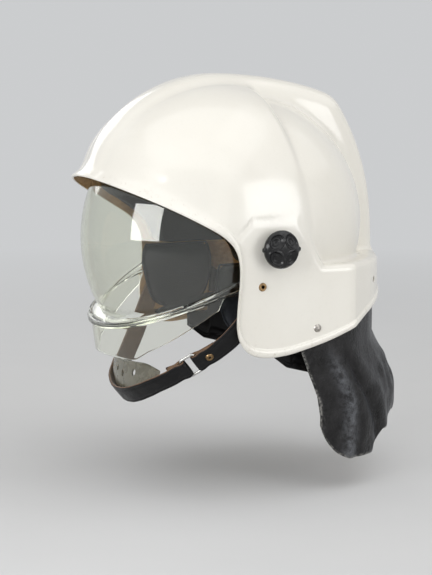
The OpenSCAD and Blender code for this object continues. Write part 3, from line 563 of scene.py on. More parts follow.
columns = []
for a in np.linspace(-1, 1, 181):
    bend = math.asin(math.sqrt(1 - (hub_r / visor_r) ** visor_n)) * a
    r = visor_r * math.cos(bend) ** (2 / visor_n)
    x = visor_hw * math.copysign(abs(math.sin(bend)) ** (2 / visor_n), bend)
    columns.append(visor_column(max(r, hub_r), x))
shield = skin("face_shield", columns)
form = bmesh.new()
form.from_mesh(shield.data)
for side in (1, -1):
    hub_x = columns[-1][0][0] if side > 0 else columns[0][0][0]
    top = fan_angle(hub_r, top_z, top_slope)
    low = -math.acos(front_of_axis / hub_r)
    kept = list(np.linspace(top, low, 60))
    spare = list(np.linspace(low, top - 2 * math.pi, 30)[1:-1])
    discs = []
    for r in (hub_r, 18, 12, 7):
        bulge = visor_hw * (1 - (r / visor_r) ** visor_n) ** (1 / visor_n)
        ring = [Vector((side * (bulge if r < hub_r else abs(hub_x)), -r * math.cos(a),
                        r * math.sin(a))) * 0.001 for a in kept + spare]
        discs.append([form.verts.new(p) for p in ring])
    for one, two in zip(discs, discs[1:]):
        for k in range(len(one)):
            quad = [one[k], one[(k + 1) % len(one)], two[(k + 1) % len(two)], two[k]]
            form.faces.new(quad).smooth = True
bmesh.ops.remove_doubles(form, verts=form.verts, dist=2e-5)
bmesh.ops.recalc_face_normals(form, faces=form.faces)
form.to_mesh(shield.data)
form.free()
outside = sum(f.normal.y for f in shield.data.polygons if abs(f.center.x) < 0.03) < 0
sheet = shield.modifiers.new("sheet", "SOLIDIFY")
sheet.thickness, sheet.offset, sheet.use_even_offset = sheet_t * 0.001, -1 if outside else 1, False
soft = shield.modifiers.new("edges", "BEVEL")
soft.width, soft.segments, soft.limit_method, soft.angle_limit = 0.0006, 2, "ANGLE", math.radians(50)
settle(shield)
clear, tree, shader = coat("clear_polycarbonate", Transmission_Weight=1, IOR=1.585,
                           Base_Color=(0.985, 0.99, 0.96, 1))
vary(shader, "Roughness", speckle(tree, 120, 6, 0.75, stretch=(0.3, 1, 2)), (0.45, 0.015), (0.8, 0.07))
relief(tree, shader, (speckle(tree, 18, 1), 0.04, 1.0))
depth = add(tree, "VolumeAbsorption", ("Color", (0.8, 0.86, 0.5, 1)), ("Density", 38.0))
tree.links.new(depth.outputs["Volume"], tree.nodes["Material Output"].inputs["Volume"])
shield.data.materials.clear()
shield.data.materials.append(clear)
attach(shield, "visor")
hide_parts("visor")


# Impact liner: a cap of rigid bead foam inside the shell, thin in front where the lifted shield passes
# outside it and thick behind. It is cut off level at the ears, and its inside is moulded to the head.
head_half = np.array([82.5, 104.5, 119])
head_centre = np.array([0, 4, 0])
foam_front_r, foam_front_hw, foam_rear_r, foam_rear_hw = 125, 98, rear_r - 3.5, rear_hw - 3.5


def liner_gap(p):
    x, y, z = p[..., 0], p[..., 1], p[..., 2]
    front_part = oval_gap(np.hypot(y, z), x, foam_front_r, foam_front_hw, visor_n)
    rear_part = -join(-rear_gap(x, y, z, foam_rear_r, foam_rear_hw), y - 30, 6)
    return join(front_part, rear_part, 5)


def head_gap(p):
    return (np.linalg.norm((p - head_centre) / head_half, axis=-1) - 1) * 100


liner_line = [[-150, 70], [-96, 42], [-78, 33.5], [-60, 23], [-44, 12], [-36, 1], [-32, -9], [-24, -13.6],
              [-8, -14], [40, -14], [90, -14], [150, -14]]
liner_heart = np.array([0, 10, -14.0])
liner_loop = edge_loop(liner_gap, liner_line, 3.2)
foam_out, foam_edge = bowl_rings(liner_gap, liner_loop, liner_heart, (0, 20, 140), (0, 0.7, 1.8, 3.4), 3.4)
ways = unit(foam_out - liner_heart)
foam_in = cast(head_gap, liner_heart, ways, 20, 150)
rounding = 1.6 * np.exp(-foam_edge / 1.6)
foam_out = foam_out - ways * rounding[..., None]
foam_in = foam_in + ways * rounding[..., None]
depth = ((foam_out - foam_in) * ways).sum(-1)[..., None]
foam_in = np.where(depth < 1.5, foam_out - ways * 1.5, foam_in)
liner = skin("foam_liner", both_halves(np.concatenate([foam_out[::-1], foam_in])), around=True,
             caps=("fan", "fan"))
bead_foam, tree, shader = coat("bead_foam", Specular_IOR_Level=0.25)
beads = speckle(tree, 420, kind="TexVoronoi")
vary(shader, "Base Color", beads, (0.1, (0.03, 0.03, 0.032)), (0.75, (0.012, 0.012, 0.013)))
vary(shader, "Roughness", speckle(tree, 60), (0.3, 0.7), (0.7, 0.9))
relief(tree, shader, (beads, 0.55, 0.5), (speckle(tree, 30, 2), 0.2, 1.0))
liner.data.materials.append(bead_foam)
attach(liner, "shell")
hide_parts("impact_liner")


# Crown pad: grey cloth over thin foam, quilted in diamonds and bound flat round its edge. It is stuck to
# the inside of the liner above the head.
def on_head(angle, rise, inside=0.0):
    """Point of the head's egg, shrunk a little: angle about the upright from the front, rise from level."""
    half = head_half - 0.2 - inside
    return head_centre + half * np.array([math.sin(angle) * math.cos(rise),
                                          -math.cos(angle) * math.cos(rise), math.sin(rise)])


def quilting(y, x, pitch):
    """Puffs of a diamond quilt, 0 at the stitched lines and 1 in the middle of each diamond."""
    a, b = (x + y) / pitch * math.pi, (x - y) / pitch * math.pi
    return (abs(math.sin(a)) * abs(math.sin(b))) ** 0.45


lower, upper = [], []
for k in range(49):
    share = k / 48
    rise = math.pi / 2 - share * math.radians(51)
    puff = max(0.0, 1 - share ** 14)
    ring_low, ring_up = [], []
    for j in range(160):
        a = 2 * math.pi * j / 160
        p = on_head(a, rise)
        swell = 2.3 + 2.6 * puff * quilting(p[0], p[1], 34)
        ring_up.append(on_head(a, rise, 0.1 + 1.1 * (1 - puff)))
        ring_low.append(on_head(a, rise, (swell if k < 48 else 1.3)))
    lower.append(ring_low)
    upper.append(ring_up)
quilt = skin("crown_quilt", np.array(upper + lower[::-1]), around=True, caps=("fan", "fan"))
grey_cloth, tree, shader = coat("grey_lining_cloth", Sheen_Weight=0.35, Sheen_Roughness=0.5)
warp = add(tree, "TexWave", ("Scale", 420.0), ("Distortion", 0.6), bands_direction="X")
weft = add(tree, "TexWave", ("Scale", 420.0), ("Distortion", 0.6), bands_direction="Y")
for yarn in (warp, weft):
    tree.links.new(add(tree, "TexCoord").outputs["Object"], yarn.inputs["Vector"])
threads = blend_colours(tree, 0.5, warp.outputs["Color"], weft.outputs["Color"])
vary(shader, "Base Color", threads, (0.2, (0.055, 0.06, 0.07)), (0.8, (0.125, 0.135, 0.15)))
vary(shader, "Roughness", speckle(tree, 80), (0.3, 0.8), (0.7, 0.95))
relief(tree, shader, (threads, 0.4, 0.3), (speckle(tree, 90, 3), 0.2, 0.6))
quilt.data.materials.append(grey_cloth)
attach(quilt, "shell")
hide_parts("crown_pad")


# Sweatband: brown leather, folded at its edges and stitched along both. It lies round the inside of the
# liner, in front and at the sides.
band_rings = []
for k in range(121):
    a = math.radians(-112 + 224 * k / 120)
    ring = []
    for t, depth in ((0, 1.9), (0.02, 2.5), (0.09, 2.45), (0.12, 1.95), (0.15, 2.5), (0.5, 2.9), (0.85, 2.5),
                     (0.88, 1.95), (0.91, 2.45), (0.98, 2.5), (1, 1.9), (1, 0.8), (0.97, 0.1), (0.5, 0.1),
                     (0.03, 0.1), (0, 0.8)):
        low_z = 44 - 14 * (1 - math.cos(min(abs(a), 2) * 0.7)) / 0.83
        high_z = 69 - 5 * (abs(a) / 1.95) ** 2
        z = low_z + (high_z - low_z) * t
        ring.append(on_head(a, math.asin(z / (head_half[2] - 0.2 - depth)), depth))
    band_rings.append(ring)
sweatband = skin("sweatband_leather", band_rings, around=True, caps=("face", "face"))
brown_leather, tree, shader = coat("brown_sweat_leather", Specular_IOR_Level=0.45)
pores = speckle(tree, 900, kind="TexVoronoi")
vary(shader, "Base Color", speckle(tree, 40, 5, 0.6), (0.3, (0.09, 0.045, 0.02)), (0.7, (0.19, 0.1, 0.05)))
vary(shader, "Roughness", speckle(tree, 120), (0.3, 0.4), (0.7, 0.62))
relief(tree, shader, (pores, 0.35, 0.25), (speckle(tree, 70, 4), 0.25, 0.6))
sweatband.data.materials.append(brown_leather)
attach(sweatband, "shell")
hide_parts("sweatband")


# Cheek pads: soft foam in dark blue-grey cloth with a piped seam, each on a nylon block inside the cheek.
# The cushion is sewn flat and then blown up a little by a cloth simulation, with its back held flat.
pad_outline = curve([[-46, -34], [-44, -20], [-34, -12], [14, -12], [26, -18], [30, -40], [20, -70],
                     [-6, -80], [-34, -72], [-46, -34]], 8)[:-1]
pad_outline[:, 1] = np.minimum(pad_outline[:, 1], -15.4)
piping_r = 1.1


def shrunk(line, by):
    heart = line.mean(0)
    away = line - heart
    size = np.linalg.norm(away, axis=1)[:, None]
    return heart + away * (size - by) / size


def puffed(piece, cap, held):
    """Cloth simulation with pressure: points move cap millimetres at most, and held(co) points stay."""
    rest = np.array([v.co for v in piece.data.vertices])
    pins = piece.vertex_groups.new(name="held")
    pins.add([i for i, co in enumerate(rest) if held(co)], 1.0, "REPLACE")
    cloth = piece.modifiers.new("cloth", "CLOTH")
    cloth.settings.use_pressure = True
    cloth.settings.uniform_pressure_force = 4
    cloth.settings.vertex_group_mass = "held"
    cloth.settings.effector_weights.gravity = 0
    cloth.point_cache.frame_start, cloth.point_cache.frame_end = 1, 20
    for moment in range(1, 21):
        bpy.context.scene.frame_set(moment)
    settle(piece)
    moved = np.array([v.co for v in piece.data.vertices]) - rest
    size = np.linalg.norm(moved, axis=1)[:, None]
    moved *= np.minimum(1, cap * 0.001 / np.maximum(size, 1e-9))
    piece.data.vertices.foreach_set("co", (rest + moved).ravel())
    piece.data.update()
    bpy.context.scene.frame_set(1)


pad_cloth, tree, shader = coat("blue_grey_pad_cloth", Sheen_Weight=0.05, Sheen_Roughness=0.4)
knit = speckle(tree, 1100, kind="TexVoronoi")
vary(shader, "Base Color", speckle(tree, 50, 4), (0.3, (0.006, 0.0074, 0.011)),
     (0.7, (0.012, 0.015, 0.021)))
vary(shader, "Roughness", speckle(tree, 300), (0.3, 0.75), (0.7, 0.95))
relief(tree, shader, (knit, 0.5, 0.3), (speckle(tree, 60, 3), 0.25, 1.0))
grey_nylon, tree, shader = coat("grey_nylon", Specular_IOR_Level=0.5)
vary(shader, "Base Color", speckle(tree, 90, 4), (0.3, (0.02, 0.021, 0.022)), (0.7, (0.035, 0.036, 0.037)))
vary(shader, "Roughness", speckle(tree, 200), (0.3, 0.35), (0.7, 0.55))
relief(tree, shader, (speckle(tree, 700, 2), 0.15, 0.15))
for side, name in ((1, "left"), (-1, "right")):
    slabs = []
    for x, by in ((81.2, 13), (80.6, 7), (81.4, 3.4), (84, 1.6), (88, 1.2), (91, 1.6), (92.8, 3)):
        slabs.append([[side * x, y, z] for y, z in shrunk(pad_outline, by)])
    cushion = skin("cheek_cushion_" + name, slabs, around=True, caps=("face", "face"))
    even_mesh = cushion.modifiers.new("even", "REMESH")
    even_mesh.mode, even_mesh.voxel_size = "VOXEL", 0.004
    settle(cushion)
    puffed(cushion, 3.2, lambda co: abs(co[0]) > 0.0905)
    smooth = cushion.modifiers.new("smooth", "SUBSURF")
    smooth.levels = smooth.render_levels = 1
    settle(cushion)
    cushion.data.shade_smooth()
    cushion.data.materials.clear()
    cushion.data.materials.append(pad_cloth)
    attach(cushion, "shell")
    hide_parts("cheek_pad_" + name)
    line = shrunk(pad_outline, 1.0)
    seam_rings = []
    for i in range(len(line) + 1):
        y, z = line[i % len(line)]
        ahead = line[(i + 1) % len(line)] - line[i - 1 if i else -1]
        ny, nz = unit([ahead[1], -ahead[0]]) * piping_r
        seam_rings.append([[side * (86 + piping_r * math.sin(b)), y + ny * math.cos(b), z + nz * math.cos(b)]
                           for b in np.linspace(0, 2 * math.pi, 9)[:-1]])
    piping = skin("cheek_piping_" + name, seam_rings, around=True)
    piping.data.materials.append(pad_cloth)
    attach(piping, "shell")
    block_line = curve([[9.5, -27], [15.5, -21], [24, -20], [32, -30], [32, -52], [24, -64], [12, -64],
                        [8, -50], [9.5, -27]], 6)[:-1]
    layers = [[[side * x, y, z] for y, z in shrunk(block_line, by)]
              for x, by in ((93, 1.2), (93.8, 0.2), (94.4, 0), (103, 0.9), (112.4, 0), (113, 0.2),
                            (113.3, 1.2))]
    block = skin("cheek_block_" + name, layers, around=True, caps=("face", "face"))
    block.data.materials.append(grey_nylon)
    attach(block, "shell")
    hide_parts("cheek_pad_" + name)


# Nape band: black leather on thin foam, with two stitched lines near its foot. It runs round the back of the
# neck, from one cheek pad to the other.
nape_line = curve([[92.2, 6], [92.6, 30.4], [92.6, 50], [90, 78], [72, 104], [40, 120], [0, 126]], 12)
nape_line = np.vstack([nape_line, nape_line[-2::-1] * [-1, 1]])
black_leather, tree, shader = coat("black_grain_leather", Specular_IOR_Level=0.2)
grain = speckle(tree, 1000, kind="TexVoronoi")
creases = speckle(tree, 150, 6, 0.7)
worn = ramp(tree, speckle(tree, 90, 6, 0.7), (0.6, 0.0), (0.78, 1.0))
dark = ramp(tree, creases, (0.3, (0.004, 0.004, 0.0045)), (0.7, (0.009, 0.009, 0.0098)))
vary(shader, "Base Color", blend_colours(tree, worn, dark, (0.028, 0.025, 0.023)))
vary(shader, "Roughness", creases, (0.3, 0.28), (0.7, 0.5))
relief(tree, shader, (grain, 0.35, 0.3), (creases, 0.3, 0.7))
nape_rings = []
for i, (x, y) in enumerate(nape_line):
    ahead = nape_line[min(i + 1, len(nape_line) - 1)] - nape_line[max(i - 1, 0)]
    nx, ny = unit([ahead[1], -ahead[0]])
    top = np.interp(y, [6, 28.5, 31.5, 60, 150], [-86, -86, -40, -62, -66])
    foot = np.interp(y, [6, 24, 50, 90, 150], [-100, -114, -121, -121, -114])
    ring = []
    for t, depth in ((0, 0.3), (0, 1.9), (0.03, 2.3), (0.08, 2.3), (0.095, 1.8), (0.11, 2.4), (0.17, 2.4),
                     (0.185, 1.9), (0.2, 2.6), (0.5, 3.6), (0.85, 2.8), (0.95, 2.3), (0.99, 2.1), (1, 1.6),
                     (1, 0.4), (0.97, 0), (0.5, -0.2), (0.2, 0), (0.185, 0.5), (0.17, 0), (0.11, 0),
                     (0.095, 0.5), (0.08, 0), (0.02, 0)):
        ring.append([x - nx * depth, y - ny * depth, foot + (top - foot) * t])
    nape_rings.append(ring)
nape = skin("nape_leather", nape_rings, around=True, caps=("face", "face"))
nape.data.materials.append(black_leather)
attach(nape, "shell")
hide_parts("nape_band")


# Knobs: black nylon hand knobs, moulded, with four finger hollows between a cross of ribs, two stop lugs
# and a short white stripe on the edge that is a painted highlight, a glint. The knob's shaft turns in the
# shell's nylon bush and drives the shield.
black_nylon, tree, shader = coat("black_nylon", Specular_IOR_Level=0.35)
handled = ramp(tree, speckle(tree, 160, 5, 0.7), (0.4, 0.0), (0.8, 1.0))
vary(shader, "Base Color", blend_colours(tree, handled, (0.006, 0.006, 0.0065), (0.014, 0.014, 0.015)))
vary(shader, "Roughness", speckle(tree, 90, 5, 0.6), (0.3, 0.14), (0.75, 0.3))
relief(tree, shader, (speckle(tree, 900, 2), 0.08, 0.12), (speckle(tree, 60, 3), 0.1, 0.6))
# White for the knob's painted highlight: a short bright stripe that stands in for a glint on its edge.
painted_highlight_white, tree, shader = coat("painted_highlight_white")
vary(shader, "Base Color", speckle(tree, 900, 4), (0.3, (0.6, 0.6, 0.58)), (0.6, (0.8, 0.8, 0.78)))
vary(shader, "Roughness", speckle(tree, 400), (0.3, 0.4), (0.7, 0.6))
knob_x, knob_r, knob_h, knob_edge_h = 119.8, 17.25, 14.5, 7.6
hollow_at, hollow_across, hollow_along, hollow_depth = 10.4, 7.4, 5.4, 3.4


def knob_height(rho, turned):
    """Height of the knob's face: a dome with four oval hollows that have narrow raised rims."""
    height = knob_edge_h + (knob_h - knob_edge_h) * math.sqrt(max(0, 1 - (rho / knob_r) ** 2.5))
    for k in range(4):
        a = math.radians(45 + 90 * k)
        radial = rho * math.cos(turned - a) - hollow_at
        across = rho * math.sin(turned - a)
        q = math.hypot(across / hollow_across, radial / hollow_along)
        height += 0.6 * math.exp(-((q - 1.06) / 0.1) ** 2) * (1 if rho < 15.6 else 0.3)
        height -= hollow_depth * (1 - q ** 3) if q < 1 else 0
        height += 0.8 * math.exp(-((q - 0.45) / 0.12) ** 2)
    return height


for side, name in ((1, "left"), (-1, "right")):
    rings = []
    for rho, h in ((6.4, 0), (12.6, 0), (13.6, 0.15), (14.1, 0.7), (14.3, 1.6), (14.6, 2.8), (15.4, 4.2),
                   (16.5, 5.4), (17.1, 6.2), (17.25, 7), (17.22, 7.6)):
        rings.append([(rho, h, 2 * math.pi * j / 160) for j in range(160)])
    for rho in [17.05, 16.8, 16.5, 16.1, *np.arange(15.6, 0.3, -0.45)]:
        rings.append([(rho, max(knob_height(rho, 2 * math.pi * j / 160), 7), 2 * math.pi * j / 160)
                      for j in range(160)])
    placed = []
    for ring in rings:
        row = []
        for rho, h, a in ring:
            lug = 1.5 * math.exp(-((abs(math.sin(a)) * rho) / 1.9) ** 6) if rho > 15 and 4 < h < 10 else 0
            row.append([side * (knob_x + h), -(rho + lug) * math.cos(a), (rho + lug) * math.sin(a)])
        placed.append(row)
    knob = skin("knob_cap_" + name, placed, around=True, caps=(None, "fan"))
    knob.data.materials.append(black_nylon)
    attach(knob, "visor")
    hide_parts("knob_" + name)
    # Painted highlight: a short white stripe on the knob's lower edge, where a glint shows.
    steps = [(16.4, 5.0), (17.2, 5.9), (17.45, 7), (17.3, 8.4), (16.9, 9.6)]
    tick = skin("knob_painted_highlight_" + name, [[[side * (knob_x + h), rho * math.sin(a), -rho * math.cos(a)]
                                       for a in np.linspace(-0.045, 0.045, 5)] for rho, h in steps])
    sheet = tick.modifiers.new("sheet", "SOLIDIFY")
    sheet.thickness, sheet.offset = 0.0003, 0
    settle(tick)
    tick.data.materials.append(painted_highlight_white)
    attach(tick, "visor")
    spigot = [[[side * x, r * math.cos(a), r * math.sin(a)] for a in np.linspace(0, 2 * math.pi, 49)[:-1]]
              for x, r in ((107.2, 5.8), (107.6, 6.3), (112, 6.5), (119, 6.5), (120.2, 6.5))]
    shaft = skin("knob_shaft_" + name, spigot, around=True, caps=("face", "face"))
    shaft.data.materials.append(black_nylon)
    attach(shaft, "visor")


# Chin straps: black harness leather, creased along both edges, its cut edges and flesh side left tan.
# The short one hangs from the left rivet and folds round the buckle. The long one runs from the buckle
# round the chin to the right rivet.
def even_run(rows, step):
    """Smooth path through rows of (place, width direction), with a point every step millimetres."""
    p = np.array([[*place, *way] for place, way in rows])
    gaps = np.linalg.norm(np.diff(p[:, :3], axis=0), axis=1)
    reach = np.concatenate([[0], np.cumsum(gaps)])
    slopes = np.diff(p, axis=0) / gaps[:, None]
    m = np.vstack([slopes[:1], (slopes[:-1] * gaps[1:, None] + slopes[1:] * gaps[:-1, None])
                   / (gaps[1:] + gaps[:-1])[:, None], slopes[-1:]])
    s = np.linspace(0, reach[-1], int(reach[-1] / step) + 1)
    i = np.clip(np.searchsorted(reach, s, side="right") - 1, 0, len(gaps) - 1)
    u, g = ((s - reach[i]) / gaps[i])[:, None], gaps[i][:, None]
    run = ((2 * u ** 3 - 3 * u ** 2 + 1) * p[i] + (u ** 3 - 2 * u ** 2 + u) * g * m[i]
           + (3 * u ** 2 - 2 * u ** 3) * p[i + 1] + (u ** 3 - u ** 2) * g * m[i + 1])
    return run[:, :3], run[:, 3:]


strap_hw = 9.25
strap_section = [(-strap_hw, 0.45), (-8.95, 1.0), (-8.3, 1.25), (-7.3, 1.3), (-6.9, 0.9), (-6.5, 1.3),
                 (-3.5, 1.42), (0, 1.45), (3.5, 1.42), (6.5, 1.3), (6.9, 0.9), (7.3, 1.3), (8.3, 1.25),
                 (8.95, 1.0), (strap_hw, 0.45), (strap_hw, -0.5), (9, -1.1), (8.3, -1.3), (3.5, -1.3),
                 (-3.5, -1.3), (-8.3, -1.3), (-9, -1.1), (-strap_hw, -0.5)]
edge_tan, tree, shader = coat("cut_leather_edge", Specular_IOR_Level=0.35)
vary(shader, "Base Color", speckle(tree, 500, 4, 0.7), (0.3, (0.07, 0.032, 0.014)),
     (0.7, (0.2, 0.105, 0.052)))
vary(shader, "Roughness", speckle(tree, 300), (0.3, 0.55), (0.7, 0.8))
relief(tree, shader, (speckle(tree, 1200, 3), 0.4, 0.3))
flesh_side, tree, shader = coat("leather_flesh_side", Sheen_Weight=0.3, Sheen_Roughness=0.5)
vary(shader, "Base Color", speckle(tree, 260, 5, 0.7), (0.3, (0.11, 0.06, 0.03)), (0.7, (0.21, 0.13, 0.07)))
vary(shader, "Roughness", speckle(tree, 200), (0.3, 0.7), (0.7, 0.92))
relief(tree, shader, (speckle(tree, 1500, 3, 0.7), 0.5, 0.35))


def leather_strap(name, node, run, ways):
    along = unit(np.gradient(run, axis=0))
    out = unit(np.cross(ways, along))
    up = np.cross(along, out)
    n = len(run)
    rings = []
    for i in range(n):
        end = min(i, n - 1 - i) * 0.8
        slim = math.sqrt(max(0.02, 1 - max(0, 1 - end / 4) ** 2))
        thin = 0.55 + 0.45 * min(1, end / 1.2)
        sway = 0.3 * math.sin(i * 0.31) + 0.2 * math.sin(i * 0.113 + 2)
        rings.append([run[i] + up[i] * a * (0.5 + 0.5 * slim if abs(a) > 9 else 1)
                      + out[i] * (o * thin + sway * 0.25) for a, o in strap_section])
    strap = skin(name, rings, around=True, caps=("face", "face"),
                 slots=lambda i, j: 1 if j in (14, 22) else (2 if 14 < j < 22 else 0))
    for material in (black_leather, edge_tan, flesh_side):
        strap.data.materials.append(material)
    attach(strap, "chin_strap")
    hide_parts(node)


buckle_at = np.array([86, -69, -105.5])
buckle_along = unit([-0.42, -0.75, -0.51])
buckle_out = unit(np.cross([0.3, -0.6, 0.74], buckle_along))
buckle_up = np.cross(buckle_along, buckle_out)
wire, buckle_l, strap_t, fold_l = 2.6, 13.4, 2.6, 22
layer = strap_t / 2 + 0.05


def at_buckle(a, o, u=0.0):
    return buckle_at + buckle_along * a + buckle_out * o + buckle_up * u


def bar_wrap(a, side):
    r = wire / 2 + strap_t / 2 + 0.1
    return [at_buckle(a + side * r * math.cos(k), r * math.sin(k))
            for k in np.radians(np.arange(90, -91, -15))]


def straight(places):
    return [[p, buckle_up] for p in places]


side_top = [[[111.9, -11.8, -22], [0, -0.99, 0.1]], [[111.9, -13.5, -34], [0, -0.98, 0.17]],
            [[111.9, -16.5, -46], [0, -0.95, 0.3]], [[111.4, -22, -58], [0, -0.87, 0.5]],
            [[109.5, -30.5, -70], [0.05, -0.78, 0.62]], [[104.8, -40, -82], [0.12, -0.68, 0.72]],
            [[98.5, -49, -91.5], [0.22, -0.62, 0.75]]]
bar = buckle_l / 2
rows = side_top + straight([at_buckle(-20, layer + 0.3), at_buckle(-bar - 6, layer), *bar_wrap(-bar, 1)]
                           + [at_buckle(-bar - a, -layer) for a in (6, fold_l / 2, fold_l)])
leather_strap("side_strap_leather", "side_strap", *even_run(rows, 0.8))
chin_rows = [[[75, -86.5, -118.8], [0.3, -0.63, 0.72]], [[66, -94, -124.6], [0.27, -0.66, 0.7]],
             [[50, -101.2, -132.6], [0.18, -0.67, 0.72]], [[30, -105.4, -139.4], [0.08, -0.65, 0.75]],
             [[8, -105, -142.6], [0.02, -0.64, 0.77]], [[-17.4, -100.1, -143], [-0.06, -0.64, 0.77]],
             [[-44.5, -90.8, -138.6], [-0.15, -0.6, 0.78]], [[-63.5, -79.7, -132.5], [-0.25, -0.55, 0.79]]]
right_rows = [[[-80, -66, -121.5], [-0.3, -0.5, 0.8]], [[-93, -52.5, -107], [-0.28, -0.55, 0.78]],
              [[-102.5, -40.5, -91], [-0.15, -0.62, 0.76]], [[-108.9, -30, -74], [-0.05, -0.75, 0.65]],
              [[-111.4, -21.5, -58], [0, -0.87, 0.5]], [[-111.9, -16.5, -46], [0, -0.95, 0.3]],
              [[-111.9, -13.5, -34], [0, -0.98, 0.17]], [[-111.9, -11.8, -22], [0, -0.99, 0.1]]]
rows = (straight([at_buckle(bar + 15, -layer - 2.2), at_buckle(bar + 6, -layer - 0.2),
                  *bar_wrap(bar, -1)[::-1], at_buckle(bar + 6, layer)]) + chin_rows + right_rows)
leather_strap("front_strap_leather", "front_strap", *even_run(rows, 0.8))


# Buckle: bright steel wire, bent to a rectangle with round corners and butted shut. Nothing else fixes it:
# the folds of both straps hold it.
bright_steel, tree, shader = coat("bright_steel", Metallic=1.0)
dull = speckle(tree, 240, 5, 0.7)
vary(shader, "Base Color", dull, (0.3, (0.62, 0.62, 0.6)), (0.75, (0.46, 0.45, 0.43)))
vary(shader, "Roughness", dull, (0.35, 0.14), (0.75, 0.38))
relief(tree, shader, (speckle(tree, 1400, 3), 0.12, 0.08), (speckle(tree, 120, 2), 0.1, 0.3))
half_up, bend = strap_hw + 0.3 + wire / 2, 2.2
path = []
for su, sa, first in ((1, 1, 0), (1, -1, 1), (-1, -1, 2), (-1, 1, 3)):
    heart_u, heart_a = su * (half_up - bend), sa * (bar - bend)
    for k in range(9):
        turned = math.radians(90 - 90 * first - k * 11.25)
        path.append(at_buckle(heart_a + bend * math.sin(turned), 0, heart_u + bend * math.cos(turned)))
path = np.array(path)
ahead = unit(np.roll(path, -1, axis=0) - np.roll(path, 1, axis=0))
across = np.cross(ahead, buckle_out)
rings = [[p + (c * math.cos(b) + buckle_out * math.sin(b)) * wire / 2
          for b in np.linspace(0, 2 * math.pi, 25)[:-1]]
         for p, c in zip([*path, path[0]], [*across, across[0]])]
frame_wire = skin("buckle_wire", rings, around=True)
frame_wire.data.materials.append(bright_steel)
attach(frame_wire, "chin_strap")
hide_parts("buckle_frame")


# Chin cup: soft moulded ivory plastic, its colour darkened to a grey that is painted shade, the shade it
# lies in below the shell. It lies in the front strap's bend, pressed between strap and chin. Four round
# holes let it breathe, and its rim is rolled thick.
cup_rim = [[67.5, -92, -113.8], [49, -97.8, -109.6], [29, -102.3, -110.2], [8, -103.6, -111.2],
           [-17, -101, -112.4], [-42, -92.5, -116], [-58, -83, -121]]
cup_heart = np.array([6, -62, -118])
foot_run, foot_way = even_run(chin_rows[1:], 1.6)
rim_run = curve(cup_rim, 40)
rim_run = rim_run[np.linspace(0, len(rim_run) - 1, len(foot_run)).round().astype(int)]
inward = unit(np.cross(np.gradient(foot_run, axis=0), foot_way))
rings = []
for i, (foot, w, top) in enumerate(zip(foot_run, foot_way, rim_run)):
    base = foot + inward[i] * (strap_t / 2 + 0.5)
    high = base + w * 1.5
    belly = (high + top) / 2 + unit(top - cup_heart) * 2
    side = curve([base - w * 6, high, belly, top], 12)
    end = min(i, len(foot_run) - 1 - i) * 1.6
    thick = 2.0 * math.sqrt(max(0.12, 1 - max(0, 1 - end / 3) ** 2))
    swell = np.array([0.9 * math.exp(-((len(side) - 1 - k) / 2.4) ** 2) for k in range(len(side))])
    into = unit(cup_heart - side)
    outer_side = side - into * (swell[:, None] * 0.7)
    inner_side = side + into * (thick + swell[:, None] * 0.9)
    lips = [(outer_side[-1] + inner_side[-1]) / 2 + unit(top - high) * (thick / 2 + 0.5) * s
            + into[-1] * c * (thick / 2 + 0.4) for s, c in ((0.75, -0.66), (1, 0), (0.75, 0.66))]
    rings.append([*outer_side, *lips, *inner_side[::-1]])
cup = skin("chin_cup_moulding", rings, around=True, caps=("face", "face"))
drill(cup, [((-4, -103.2, -120.3), (-0.13, -0.98, 0.1), 4.6, 16),
            ((11, -104.7, -122.8), (-0.04, -0.99, 0.14), 6, 16),
            ((33, -103.4, -118.4), (0.13, -0.96, 0.22), 6.4, 16),
            ((-26, -98.6, -121), (-0.25, -0.95, 0.1), 5, 16)])
ivory, tree, shader = coat("ivory_plastic_with_painted_shade", Subsurface_Weight=0.35,
                           Subsurface_Radius=(0.004, 0.003, 0.002), Subsurface_Scale=1.0,
                           Specular_IOR_Level=0.45)
stain = speckle(tree, 55, 5, 0.65)
grime = ramp(tree, speckle(tree, 420, 5, 0.7), (0.55, 0.0), (0.8, 0.8))
# Painted shade: the ivory is coloured dark, to the grey it shows lying in shade below the shell; the stain
# noise varies it at random.
stain_and_shade_tone = ramp(tree, stain, (0.3, (0.118, 0.112, 0.085)), (0.7, (0.19, 0.183, 0.146)))
vary(shader, "Base Color", blend_colours(tree, grime, stain_and_shade_tone, (0.1, 0.08, 0.055)))
vary(shader, "Roughness", stain, (0.3, 0.2), (0.7, 0.38))
relief(tree, shader, (speckle(tree, 500, 3), 0.15, 0.2), (stain, 0.15, 0.8))
cup.data.materials.clear()
cup.data.materials.append(ivory)
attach(cup, "chin_strap")
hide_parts("chin_cup")


# Neck curtain: one thick soft hide, bluish black, riveted inside the rear band by its upper edge. It hangs
# open in front, bellies out behind, and folds down from the rear corner; the cut hem is worn pale. A paler
# stripe along the crest of the fold is a painted highlight.
curtain_top = curve([[113.2, 33], [113.2, 58], [110.6, 80], [89.5, 107.5], [74.5, 120.5], [56, 132.8],
                     [36, 142.6], [17, 152.6], [0, 154.6]], 12)
curtain_foot_z, hide_t = -201.5, 2.2
lean_z, belly_z, belly_l, belly_depth = -96, -92, 112, 24
half_count = len(curtain_top) - 1
last_place = 2 * half_count - int(half_count * 0.8)
rng = np.random.default_rng(7)
crinkles = [(rng.uniform(9, 26), rng.uniform(0, 2 * math.pi), rng.uniform(-1.2, 1.2),
             rng.uniform(0.12, 0.5)) for _ in range(16)]
drop = np.concatenate([np.linspace(0, 0.93, 52), [0.95, 0.966, 0.978, 0.987, 0.994, 1]])
shares = np.concatenate([[0, 0.0015, 0.0035, 0.006, 0.0095, 0.0135], np.linspace(0.018, 0.985, 150),
                         [0.9895, 0.993, 0.9955, 0.9975, 0.999, 1]])
face, spread = [], []
